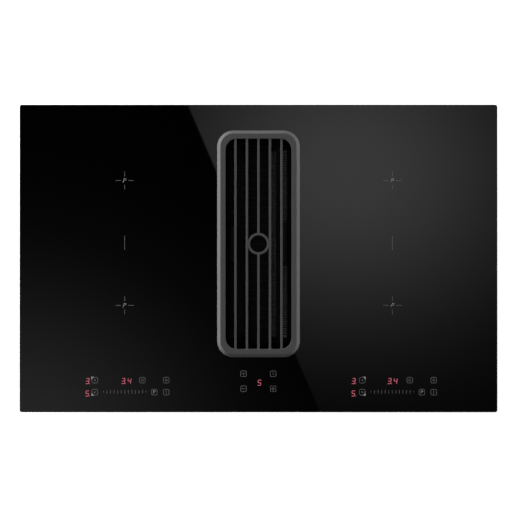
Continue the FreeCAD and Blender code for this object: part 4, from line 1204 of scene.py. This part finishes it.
class COOKTOP_OT_fixings(bpy.types.Operator):
    """Sets the screws of the casing, plenum, blower, collar, driver and cable inlet"""

    bl_idname = "cooktop.fixings"
    bl_label = "Screws"

    def execute(self, context):
        head, small = screw_head(3.4 * MM), screw_head(2.4 * MM)
        sets = (
            ("plenum_screws", head, self.plenum),
            ("blower_screws", head, self.blower),
            ("collar_screws", head, self.collar),
            ("casing_screws", head, self.casing),
            ("driver_screws", small, self.driver),
            ("cable_clamp_screws", small, self.cable_clamp),
        )
        for name, screw, places in sets:
            set_out(screw, places(), name, "galvanised", "screw")
        discarded(head, small)
        return {"FINISHED"}

    @staticmethod
    def plenum():
        low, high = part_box("plenum_box")
        inset, end_x, under = 5 * MM, 72 * MM, high.z - FLANGE
        places = []
        for x in (low.x + inset, high.x - inset):
            for share in (0.14, 0.38, 0.62, 0.86):
                places.append((x, low.y + (high.y - low.y) * share, under, DOWN))
        for y in (low.y + inset, high.y - inset):
            for x in (-end_x, end_x):
                places.append((x, y, under, DOWN))
        return places

    @staticmethod
    def blower():
        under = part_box("blower_base")[1].z - FLANGE
        straight_x = 210 * MM
        places = []
        for angle in range(110, 360, 40):
            x, y = scroll_place(angle, 8 * MM)[:2]
            places.append((x, y, under, DOWN))
        for y in (58, 146):
            places.append((straight_x, y * MM, under, DOWN))
        return places

    @staticmethod
    def collar():
        low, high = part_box("outlet_collar")
        inset_x, inset_z = 6 * MM, 9 * MM
        places = []
        for x in (low.x + inset_x, high.x - inset_x):
            for z in (low.z + inset_z, (low.z + high.z) / 2, high.z - inset_z):
                places.append((x, low.y + FLANGE, z, REAR))
        return places

    @staticmethod
    def casing():
        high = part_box("hob_casing")[1]
        side, end, z = high.x - CASING_LIP, high.y - CASING_LIP, high.z - 13 * MM
        inset = 14 * MM
        places = []
        for x in (-side + inset, 0, side - inset):
            places.append((x, end, z, REAR))
            places.append((x, -end, z, FRONT))
        for y in (-end + inset, end - inset):
            places.append((side, y, z, RIGHT))
            places.append((-side, y, z, LEFT))
        return places

    @staticmethod
    def driver():
        low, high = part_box("blower_driver")
        inset = 6 * MM
        rows = (low.z + inset, high.z - inset)
        return [(low.x, y, z, LEFT) for y in (low.y + inset, high.y - inset) for z in rows]

    @staticmethod
    def cable_clamp():
        low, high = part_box("cable_inlet")
        inset = 4 * MM
        y = (low.y + high.y) / 2
        return [(x, y, low.z, DOWN) for x in (low.x + inset, high.x - inset)]


class COOKTOP_OT_duct_seal(bpy.types.Operator):
    """Fits the rubber lips round the outlet collar's spigot"""

    bl_idname = "cooktop.duct_seal"
    bl_label = "Duct seal"

    def execute(self, context):
        low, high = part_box("outlet_collar")
        centre = (low + high) / 2
        spigot_wide, spigot_high, lap, corner = 220 * MM, 89 * MM, 0.2 * MM, 5 * MM
        depth, thickness = 3.2 * MM, 0.95 * MM
        lip = band(spigot_wide - lap, spigot_high - lap, corner, depth, thickness)
        places = [(centre.x, y * MM, centre.z, FRONT) for y in (224, 231)]
        set_out(lip, places, "duct_lips", "silicone")
        discarded(lip)
        return {"FINISHED"}


class COOKTOP_OT_coils(bpy.types.Operator):
    """Winds the four coils, turn beside turn"""

    bl_idname = "cooktop.coils"
    bl_label = "Induction coils"

    def execute(self, context):
        low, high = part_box("left_rear_coil")
        wide, deep, tall = high - low
        turns, pitch, crown, corner = 13, 5 * MM, 1.3 * MM, 76 * MM
        coil = plate(wide, deep, (0, 0, tall - crown))
        with Bench(coil) as bench:
            bench.round_corners(corner, 8)
            bench.pick("faces")
            for turn in range(turns):
                for share in (0.8, 0.2, -0.2, -0.8):
                    bpy.ops.mesh.inset(thickness=pitch / 4, depth=crown * share)
            bpy.ops.mesh.delete(type="FACE")
        modify(coil, "SOLIDIFY", thickness=tall - crown, offset=-1)
        smooth(coil, 60)
        for side in ("left", "right"):
            for zone in ("rear", "front"):
                node = f"{side}_{zone}_coil"
                low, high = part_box(node)
                centre = (low + high) / 2
                stand_in(copied(coil, centre.x, centre.y, low.z), node, f"{node}_wound")
        discarded(coil)
        return {"FINISHED"}


class COOKTOP_OT_impeller(bpy.types.Operator):
    """Turns the impeller's plate, hub and shroud, and stands its curved blades between them"""

    bl_idname = "cooktop.impeller"
    bl_label = "Impeller"

    def execute(self, context):
        low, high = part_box("impeller")
        reach, bore, rise, wall, steps, blades = 104.5, 4.1, 48, 2.5, 72, 36
        foot = [(reach, 0), (reach, wall), (46, wall), (45.4, rise - 2), (43, rise), (bore, rise)]
        hub = foot + [(bore, rise - wall), (42.6, rise - wall), (43.5, 0), (reach, 0)]
        shroud = [(reach, 0), (reach, -3), (86, -3), (86, 0), (reach, 0)]
        if rise * MM > high.z - low.z:
            raise RuntimeError("the hub is taller than the impeller")
        pieces = [
            lathe([(radius * MM, base + height * MM) for radius, height in profile], steps)
            for profile, base in ((hub, low.z), (shroud, high.z))
        ]
        blade = self.blade(low.z + 2 * MM, high.z - 2.5 * MM)
        pieces += ring_of(blade, blades)
        discarded(blade)
        stand_in(smooth(joined(pieces)), "impeller", "impeller_moulded")
        return {"FINISHED"}

    @staticmethod
    def blade(bottom, top):
        """A forward-curved blade: a strip turned about its own centre of curvature."""
        start, curve, sweep, thickness = 87 * MM, 15 * MM, math.radians(72), 1.6 * MM
        strip = plate(1, 1)
        with Bench(strip) as bench:
            bench.first_point(start, bottom)
            bench.extrude(z=top - bottom)
            bench.spin(7, sweep, (start + curve * 0.35, curve * 0.94, 0))
        return modify(strip, "SOLIDIFY", thickness=thickness, offset=0)


class COOKTOP_OT_fans(bpy.types.Operator):
    """Turns the cooling fans' hubs and stands twisted blades round them"""

    bl_idname = "cooktop.fans"
    bl_label = "Cooling fans"

    def execute(self, context):
        low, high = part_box("left_fan_rotor")
        foot, top, pin = low.z + 3 * MM, high.z, low.z
        hub, shaft, steps, blades = 15 * MM, 2 * MM, 36, 7
        cap = [(0, top), (13 * MM, top), (14.6 * MM, top - 1.2 * MM), (hub, top - 3 * MM)]
        rotor = [lathe(cap + [(hub, foot), (shaft, foot), (shaft, pin), (0, pin)], steps)]
        blade = self.blade((foot + top) / 2)
        rotor = smooth(joined(rotor + ring_of(blade, blades)))
        for side in ("left", "right"):
            node = f"{side}_fan_rotor"
            low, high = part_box(f"{side}_fan_frame")
            made = copied(rotor, (low.x + high.x) / 2, (low.y + high.y) / 2)
            stand_in(made, node, f"{node}_moulded")
        discarded(blade, rotor)
        return {"FINISHED"}

    @staticmethod
    def blade(middle):
        """A pitched blade that flattens towards its tip."""
        root, reach, chord, thickness = 12.9 * MM, 22.6 * MM, 15 * MM, 1.2 * MM
        pitch, twist, cuts = math.radians(42), math.radians(2.6), 4
        made = plate(reach, chord)
        made.location = (root + reach / 2, 0, middle)
        made.rotation_euler = (pitch, 0, 0)
        place_in_mesh(made)
        with Bench(made) as bench:
            bench.pick("edges", runs_along(0))
            bpy.ops.mesh.subdivide(number_cuts=cuts)
            for cut in range(1, cuts + 2):
                start = root + reach * (cut - 0.5) / (cuts + 1)
                bench.pick("verts", lambda vert: vert.co.x > start)
                bpy.ops.transform.rotate(value=twist, orient_axis="X", center_override=(0, 0, middle))
        return modify(made, "SOLIDIFY", thickness=thickness, offset=0)


class COOKTOP_OT_electronics(bpy.types.Operator):
    """Dresses the power boards with capacitors and chokes, and opens the wells of the terminal block"""

    bl_idname = "cooktop.electronics"
    bl_label = "Electronics"

    def execute(self, context):
        low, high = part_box("power_components")
        y, base, tall = (low.y + high.y) / 2, low.z, high.z - low.z
        case_x, can_x, can_shift, choke_x = 215 * MM, 165 * MM, 8.4 * MM, 115 * MM
        case = self.film_capacitor(33 * MM, 24 * MM, tall)
        can = self.electrolytic(8 * MM, tall)
        core, wire = self.choke(tall / 2)
        capacitors = []
        for side in SIDES:
            capacitors.append(copied(case, side * case_x, y, base))
            for shift in (-can_shift, can_shift):
                capacitors.append(copied(can, side * can_x + shift, y, base))
        stand_in(joined(capacitors), "power_components", "board_capacitors")
        places = [(side * choke_x, y, base, LEVEL) for side in SIDES]
        set_out(core, places, "choke_cores", "ferrite")
        set_out(wire, places, "choke_windings", "litz")
        discarded(case, can, core, wire)
        self.terminals()
        return {"FINISHED"}

    @staticmethod
    def film_capacitor(wide, deep, tall):
        """A moulded case with rounded corners and a sunk potted top."""
        corner, wall, sunk = 2.4 * MM, 1.1 * MM, 0.9 * MM
        case = block(wide, deep, tall, (0, 0, tall / 2))
        with Bench(case) as bench:
            bench.round_edges(runs_along(2), corner, 4)
            bench.pick("faces", faces_up)
            bpy.ops.mesh.inset(thickness=wall)
            bench.extrude(z=-sunk)
        return smooth(case)

    @staticmethod
    def electrolytic(radius, tall):
        """A sleeved can with a crimped foot and a rolled top."""
        waist, lip = radius * 0.9, radius * 0.82
        profile = [(0, 0), (radius - 0.6 * MM, 0), (radius, 0.6 * MM), (radius, 2.4 * MM), (waist, 3 * MM)]
        profile += [(radius, 3.6 * MM), (radius, tall - 1 * MM), (radius - 0.7 * MM, tall), (lip, tall)]
        profile += [(lip - 0.4 * MM, tall - 0.5 * MM), (0, tall - 0.5 * MM)]
        return smooth(lathe(profile, 24))

    @staticmethod
    def choke(radius):
        """A ring core that stands on its edge, and the turns of wire round it."""
        section, middle, wire, turns = radius * 0.29, radius * 0.64, 0.7 * MM, 18
        first_turn, last_turn = -60, 240

        def hoop(reach, thickness, steps, sides):
            angles = [math.tau * corner / sides for corner in range(sides + 1)]
            points = [(reach + thickness * math.cos(turn), thickness * math.sin(turn)) for turn in angles]
            return smooth(lathe(points, steps), 60)

        ring = hoop(middle, section, 40, 12)
        core = copied(ring, 0, 0, radius, FRONT)
        loop = hoop(section + wire * 0.6, wire, 14, 6)
        wires = []
        for turn in range(turns):
            angle = math.radians(first_turn + (last_turn - first_turn) * turn / (turns - 1))
            x, z = middle * math.cos(angle), radius + middle * math.sin(angle)
            wires.append(copied(loop, x, 0, z, (0, -angle, 0)))
        discarded(ring, loop)
        return core, joined(wires)

    @staticmethod
    def terminals():
        """Opens a well for each pole and sets its screw."""
        low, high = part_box("terminal_block")
        poles, wall, depth, edge = 5, 2.4 * MM, 7 * MM, 0.4 * MM
        made = solid_copy("terminal_block")
        with Bench(made) as bench:
            bench.pick("edges", runs_along(0))
            bpy.ops.mesh.subdivide(number_cuts=poles - 1)
            bench.pick("faces", faces_up)
            bpy.ops.mesh.inset(thickness=wall, use_individual=True)
            bench.extrude(z=-depth)
        made = smooth(rounded_edges(made, edge, 40))
        stand_in(made, "terminal_block", "terminal_block_moulded")
        head = screw_head(3 * MM)
        pitch = (high.x - low.x) / poles
        y = (low.y + high.y) / 2
        places = [(low.x + pitch * (pole + 0.5), y, high.z - depth, LEVEL) for pole in range(poles)]
        set_out(head, places, "terminal_screws", "galvanised", "screw")
        discarded(head)


class COOKTOP_OT_zone_marks(bpy.types.Operator):
    """Prints the crosses of the four zones and the lines between them"""

    bl_idname = "cooktop.zone_marks"
    bl_label = "Zone marks"

    def execute(self, context):
        prints = context.scene.cooktop_prints
        zone_x, rear_y, front_y = 224 * MM, 130.5 * MM, -78.4 * MM
        line_y, line, capital, lean = 26.1 * MM, 23.6 * MM, 7.6 * MM, 0.3
        reach = prints.arm - prints.arm_gap
        centre = (prints.arm + prints.arm_gap) / 2
        upright_centre, upright_reach = centre * 1.02, reach * 0.86
        marks = []
        for x in (-zone_x, zone_x):
            for y in (rear_y, front_y):
                for side in SIDES:
                    marks.append(bar_mark(x + centre * side, y, reach, prints.stroke))
                    marks.append(bar_mark(x, y + upright_centre * side, prints.stroke, upright_reach))
                marks.append(letter("P", capital, lean, x, y))
            marks.append(bar_mark(x, line_y, prints.stroke, line))
        raised(marks, "zone_marks", "glass", "ink", prints)
        return {"FINISHED"}


class COOKTOP_OT_side_keys(bpy.types.Operator):
    """Prints the keys and the slider of the left and right controls"""

    bl_idname = "cooktop.side_keys"
    bl_label = "Side keys"

    def execute(self, context):
        prints = context.scene.cooktop_prints
        upper, lower, right_shift = -203.6 * MM, -223.7 * MM, 447.7 * MM
        dot, dial, hand, hand_shift = 1.25 * MM, 2.4 * MM, 1.5 * MM, 0.7 * MM
        hub, ray, ray_width, switch, capital, lean = 1.8 * MM, 5.4 * MM, 0.65 * MM, 5.8 * MM, 6.2 * MM, 0.15
        slider_x, slider_rise = -259.5 * MM, 0.6 * MM
        outline = key_outline(prints)
        for name, shift, mirror in (("left", 0, -1), ("right", right_shift, 1)):
            zone, clock, boost, last = (x * MM + shift for x in (-274, -194.5, -174.4, -154.5))
            marks = [copied(outline, x, upper) for x in (zone, clock, last)]
            marks += [copied(outline, x, lower) for x in (zone, boost, last)]
            wedges = []
            for y, rise in ((upper, 1), (lower, -1)):
                marks.append(disc(dot, zone, y))
                wedges.append(self.wedge(zone, y, mirror, rise))
            marks.append(ring_outline(dial, prints.stroke * 0.7, clock, upper))
            marks.append(bar_mark(clock, upper + hand_shift, prints.stroke * 0.6, hand))
            marks.append(disc(hub, last, upper, 12))
            for across, along in ((ray, ray_width), (ray_width, ray)):
                marks.append(bar_mark(last, upper, across, along))
            marks.append(bar_mark(last, lower, prints.stroke, switch))
            marks.append(letter("P", capital, lean, boost, lower))
            marks += self.slider(slider_x + shift, lower + slider_rise, prints.stroke)
            raised(marks, f"{name}_key_marks", "glass", "ink", prints)
            raised(wedges, f"{name}_zone_wedges", "glass", "wedge", prints)
        discarded(outline)
        return {"FINISHED"}

    @staticmethod
    def wedge(x, y, mirror, rise):
        """A corner triangle on the side of the zone that a key chooses."""
        side, reach = 4.8 * MM, 3.2 * MM
        made = plate(side, side)
        with Bench(made) as bench:
            bench.drop("verts", lambda vert: vert.co.x * mirror < 0 and vert.co.y * rise < 0)
            bench.pick("edges")
            bpy.ops.mesh.edge_face_add()
        made.location = (x + mirror * reach, y + rise * reach, 0)
        return place_in_mesh(made)

    @staticmethod
    def slider(x, y, stroke):
        """A row of ticks, the first and the last of them short."""
        ticks, pitch, tall, short = 13, 5.95 * MM, 5.8 * MM, 2.2 * MM
        heights = [short] + [tall] * (ticks - 2) + [short]
        return [bar_mark(x + tick * pitch, y, stroke, height) for tick, height in enumerate(heights)]


class COOKTOP_OT_centre_keys(bpy.types.Operator):
    """Prints the keys of the extractor's control"""

    bl_idname = "cooktop.centre_keys"
    bl_label = "Centre keys"

    def execute(self, context):
        prints = context.scene.cooktop_prints
        left, right, upper, lower = -25.1 * MM, 24.5 * MM, -192.8 * MM, -218.0 * MM
        petal_radius, petal_reach, petals = 2.7 * MM, 3.5 * MM, 4
        outline = key_outline(prints)
        marks = [copied(outline, x, y) for x, y in ((left, upper), (left, lower), (right, upper))]
        for x, y, across, along in (
            (left, upper, 6.2, 0.75),
            (left, upper, 0.75, 6.2),
            (left, lower, 6.2, 0.7),
            (right, upper + 0.6 * MM, 0.7, 4.4),
            (right + 0.7 * MM, upper - 1.7 * MM, 2.0, 0.6),
        ):
            marks.append(bar_mark(x, y, across * MM, along * MM))
        for petal in range(petals):
            angle = math.tau * (petal + 0.5) / petals
            x = right + petal_reach * math.cos(angle)
            y = lower + petal_reach * math.sin(angle)
            marks.append(ring_outline(petal_radius, prints.stroke * 0.75, x, y))
        raised(marks, "centre_key_marks", "glass", "ink", prints)
        discarded(outline)
        return {"FINISHED"}


class COOKTOP_OT_digits(bpy.types.Operator):
    """Lights the digits of the three displays"""

    bl_idname = "cooktop.digits"
    bl_label = "Lit digits"

    def execute(self, context):
        prints = context.scene.cooktop_prints
        upper, lower, right_shift = -205.1 * MM, -225.8 * MM, 445.4 * MM
        centre_x, centre_y = 1.5 * MM, -207.9 * MM
        side_digits = (
            ("3", -286.3 * MM, upper, True),
            ("5", -286.7 * MM, lower, True),
            ("3", -226.3 * MM, upper, True),
            ("4", -216.1 * MM, upper, False),
        )
        for finish, weight, coats in (("halo", 1.75, 1.0), ("lit", 0.72, 1.6)):
            for name, shift in (("left", 0), ("right", right_shift)):
                marks = []
                for figure, x, y, point in side_digits:
                    marks += lit_digit(figure, x + shift, y, prints, weight, point)
                raised(marks, f"{name}_{finish}_digits", "display", finish, prints, coats)
            marks = lit_digit("5", centre_x, centre_y, prints, weight)
            raised(marks, f"centre_{finish}_digit", "display", finish, prints, coats)
        return {"FINISHED"}


class COOKTOP_OT_stage(bpy.types.Operator):
    """Sets the camera, the pale floor, the softboxes and the card that the glass reflects"""

    bl_idname = "cooktop.stage"
    bl_label = "Stage"

    def execute(self, context):
        studio = context.scene.cooktop_studio
        glass_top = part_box("glass_panel")[1].z
        film_width = 36
        ready()
        bpy.ops.object.camera_add(location=(0, 0, glass_top + studio.camera_height), rotation=LEVEL)
        camera = bpy.context.object
        camera.data.sensor_width = film_width
        camera.data.lens = film_width * studio.camera_height / studio.view_width
        context.scene.camera = camera
        context.scene.view_settings.view_transform = "Standard"
        self.lamps(studio)
        self.floor(studio)
        self.card(studio, glass_top)
        self.world(context.scene, studio)
        return {"FINISHED"}

    @staticmethod
    def lamps(studio):
        for name, power, place, width, depth in (
            ("left_softbox", studio.left_lamp, (-1.835, 0.76, 0.09), 1.0, 0.16),
            ("high_softbox", studio.high_lamp, (-1.0, 0.15, 1.8), 1.0, 0.8),
            ("right_softbox", studio.right_lamp, (1.835, 0.76, 0.09), 1.0, 0.16),
        ):
            ready()
            aim = (-Vector(place)).to_track_quat("-Z", "Y").to_euler()
            bpy.ops.object.light_add(type="AREA", location=place, rotation=aim)
            lamp = bpy.context.object
            lamp.name = name
            lamp.data.shape = "RECTANGLE"
            lamp.data.size = width
            lamp.data.size_y = depth
            lamp.data.energy = power
            lamp.visible_camera = False
            lamp.visible_glossy = False

    @staticmethod
    def seen(finish):
        """1 for rays from the camera, from gloss and through glass."""
        names = ("Is Camera Ray", "Is Glossy Ray", "Is Transmission Ray")
        camera, glossy, clear = (finish.node("ShaderNodeLightPath", output=name) for name in names)
        return camera.either(glossy).either(clear)

    def floor(self, studio):
        """A white floor with a painted shade under the hob, on top of the real shadow that it keeps."""
        side, gap = 16, 0.6 * MM
        floor = plate(side, side, (0, 0, cad_box[0][2] - gap))
        floor.name = "pale_floor"
        finish = Finish("pale_floor")
        tint = finish.blend(finish.noise(0.8, 2), (0.8, 0.8, 0.8), (0.82, 0.82, 0.82))
        lit = finish.node("ShaderNodeBsdfDiffuse", {}, {"Color": tint})
        soft = finish.node("ShaderNodeBsdfDiffuse", {}, {"Color": opaque((0.5, 0.5, 0.5))})
        x, y = finish.axes("XY")
        shade_reach, shade_fade, far_spread, far_start = 1.04, 0.6, 2.5, 0.3
        across, along = x / cad_box[1][0], y / cad_box[1][1]
        across, along = across * across, along * along
        # Painted shade: the floor's glow drops under the hob, so the floor is darker there than its real
        # shadow alone makes it.
        inset = ((shade_reach - (across * across + along * along) ** 0.25) / shade_fade).clamped()
        under = inset * inset * (3 - 2 * inset)
        distant = ((x * x + y * y) / far_spread - far_start).clamped()
        glow = finish.mixed(under, finish.glow(studio.floor_glow), finish.glow(studio.shade_glow))
        glow = finish.mixed(distant, glow, finish.glow(1.0))
        kept = finish.node("ShaderNodeAddShader", {}, {0: glow, 1: soft})
        finish.shown(finish.mixed(self.seen(finish), lit, kept))
        floor.data.materials.append(finish.material)

    @staticmethod
    def card(studio, glass_top):
        """A dark card overhead with a soft glow on each side of a slanting edge."""
        side = 2.6
        card = plate(side, side, (0, 0, glass_top + studio.card_height))
        card.name = "reflected_card"
        finish = Finish("reflected_card")
        spread = 1 + studio.card_height / studio.camera_height
        x, y = finish.axes("XY", (1 / spread, 1 / spread, 1))

        def glow(centre, reach, peak, base):
            across = (x - centre[0]) / reach[0]
            along = (y - centre[1]) / reach[1]
            return (0 - across * across - along * along).exp() * peak + base

        edge_x, edge_y, lean, softness = -0.1181, 0.2572, 0.2211 / 0.5144, 0.004
        half_width, half_depth = 0.46, 0.34
        edge = ((x - edge_x + (y - edge_y) * lean) / softness + 0.5).clamped()
        right = glow((0.148, 0.15), (0.262, 0.227), 0.957, 0.026)
        left = glow((-0.424, -0.326), (0.277, 0.246), 0.471, 0.003)
        pattern = right * edge + left * (1 - edge)
        outside = ((abs(x) / half_width).either(abs(y) / half_depth) - 1).clamped()
        strength = pattern * (1 - outside) + outside
        finish.shown(finish.mixed(strength, finish.glow(0), finish.glow(1)))
        card.data.materials.append(finish.material)
        for rays in ("camera", "diffuse", "shadow", "transmission", "volume_scatter"):
            setattr(card, f"visible_{rays}", False)

    def world(self, scene, studio):
        world = bpy.data.worlds.new("pale_studio")
        scene.world = world
        world.use_nodes = True
        finish = Finish("pale_studio", world.node_tree)
        dim, white = (
            finish.node("ShaderNodeBackground", {}, {"Color": WHITE, "Strength": strength})
            for strength in (studio.ambient, 1.0)
        )
        finish.shown(finish.mixed(self.seen(finish), dim, white), "ShaderNodeOutputWorld")


STEPS = (
    COOKTOP_OT_finishes,
    COOKTOP_OT_grille,
    COOKTOP_OT_filter,
    COOKTOP_OT_sheetwork,
    COOKTOP_OT_mouldings,
    COOKTOP_OT_pressings,
    COOKTOP_OT_ribs,
    COOKTOP_OT_fixings,
    COOKTOP_OT_duct_seal,
    COOKTOP_OT_coils,
    COOKTOP_OT_impeller,
    COOKTOP_OT_fans,
    COOKTOP_OT_electronics,
    COOKTOP_OT_zone_marks,
    COOKTOP_OT_side_keys,
    COOKTOP_OT_centre_keys,
    COOKTOP_OT_digits,
    COOKTOP_OT_stage,
)
GROUPS = {
    "cooktop_prints": CooktopPrints,
    "cooktop_metalwork": CooktopMetalwork,
    "cooktop_finishes": CooktopFinishes,
    "cooktop_studio": CooktopStudio,
}


class COOKTOP_PT_pieces(bpy.types.Panel):
    """Lists the steps that build the cooktop, and its sizes and colours"""

    bl_idname = "COOKTOP_PT_pieces"
    bl_label = "Venting cooktop"
    bl_space_type = "VIEW_3D"
    bl_region_type = "UI"
    bl_category = "Cooktop"

    def draw(self, context):
        for step in STEPS:
            self.layout.operator(step.bl_idname)
        for name, group in GROUPS.items():
            box = self.layout.box()
            for prop in group.__annotations__:
                box.prop(getattr(context.scene, name), prop)


def register():
    for name, group in GROUPS.items():
        bpy.utils.register_class(group)
        setattr(bpy.types.Scene, name, PointerProperty(type=group))
    for step in STEPS:
        bpy.utils.register_class(step)
    bpy.utils.register_class(COOKTOP_PT_pieces)


def unregister():
    bpy.utils.unregister_class(COOKTOP_PT_pieces)
    for step in reversed(STEPS):
        bpy.utils.unregister_class(step)
    for name, group in GROUPS.items():
        delattr(bpy.types.Scene, name)
        bpy.utils.unregister_class(group)


def main():
    register()
    bpy.ops.cooktop.finishes()
    bpy.ops.cooktop.grille()
    bpy.ops.cooktop.filter()
    bpy.ops.cooktop.sheetwork()
    bpy.ops.cooktop.mouldings()
    bpy.ops.cooktop.pressings()
    bpy.ops.cooktop.ribs()
    bpy.ops.cooktop.fixings()
    bpy.ops.cooktop.duct_seal()
    bpy.ops.cooktop.coils()
    bpy.ops.cooktop.impeller()
    bpy.ops.cooktop.fans()
    bpy.ops.cooktop.electronics()
    bpy.ops.cooktop.zone_marks()
    bpy.ops.cooktop.side_keys()
    bpy.ops.cooktop.centre_keys()
    bpy.ops.cooktop.digits()
    bpy.ops.cooktop.stage()


if __name__ == "__main__":
    main()
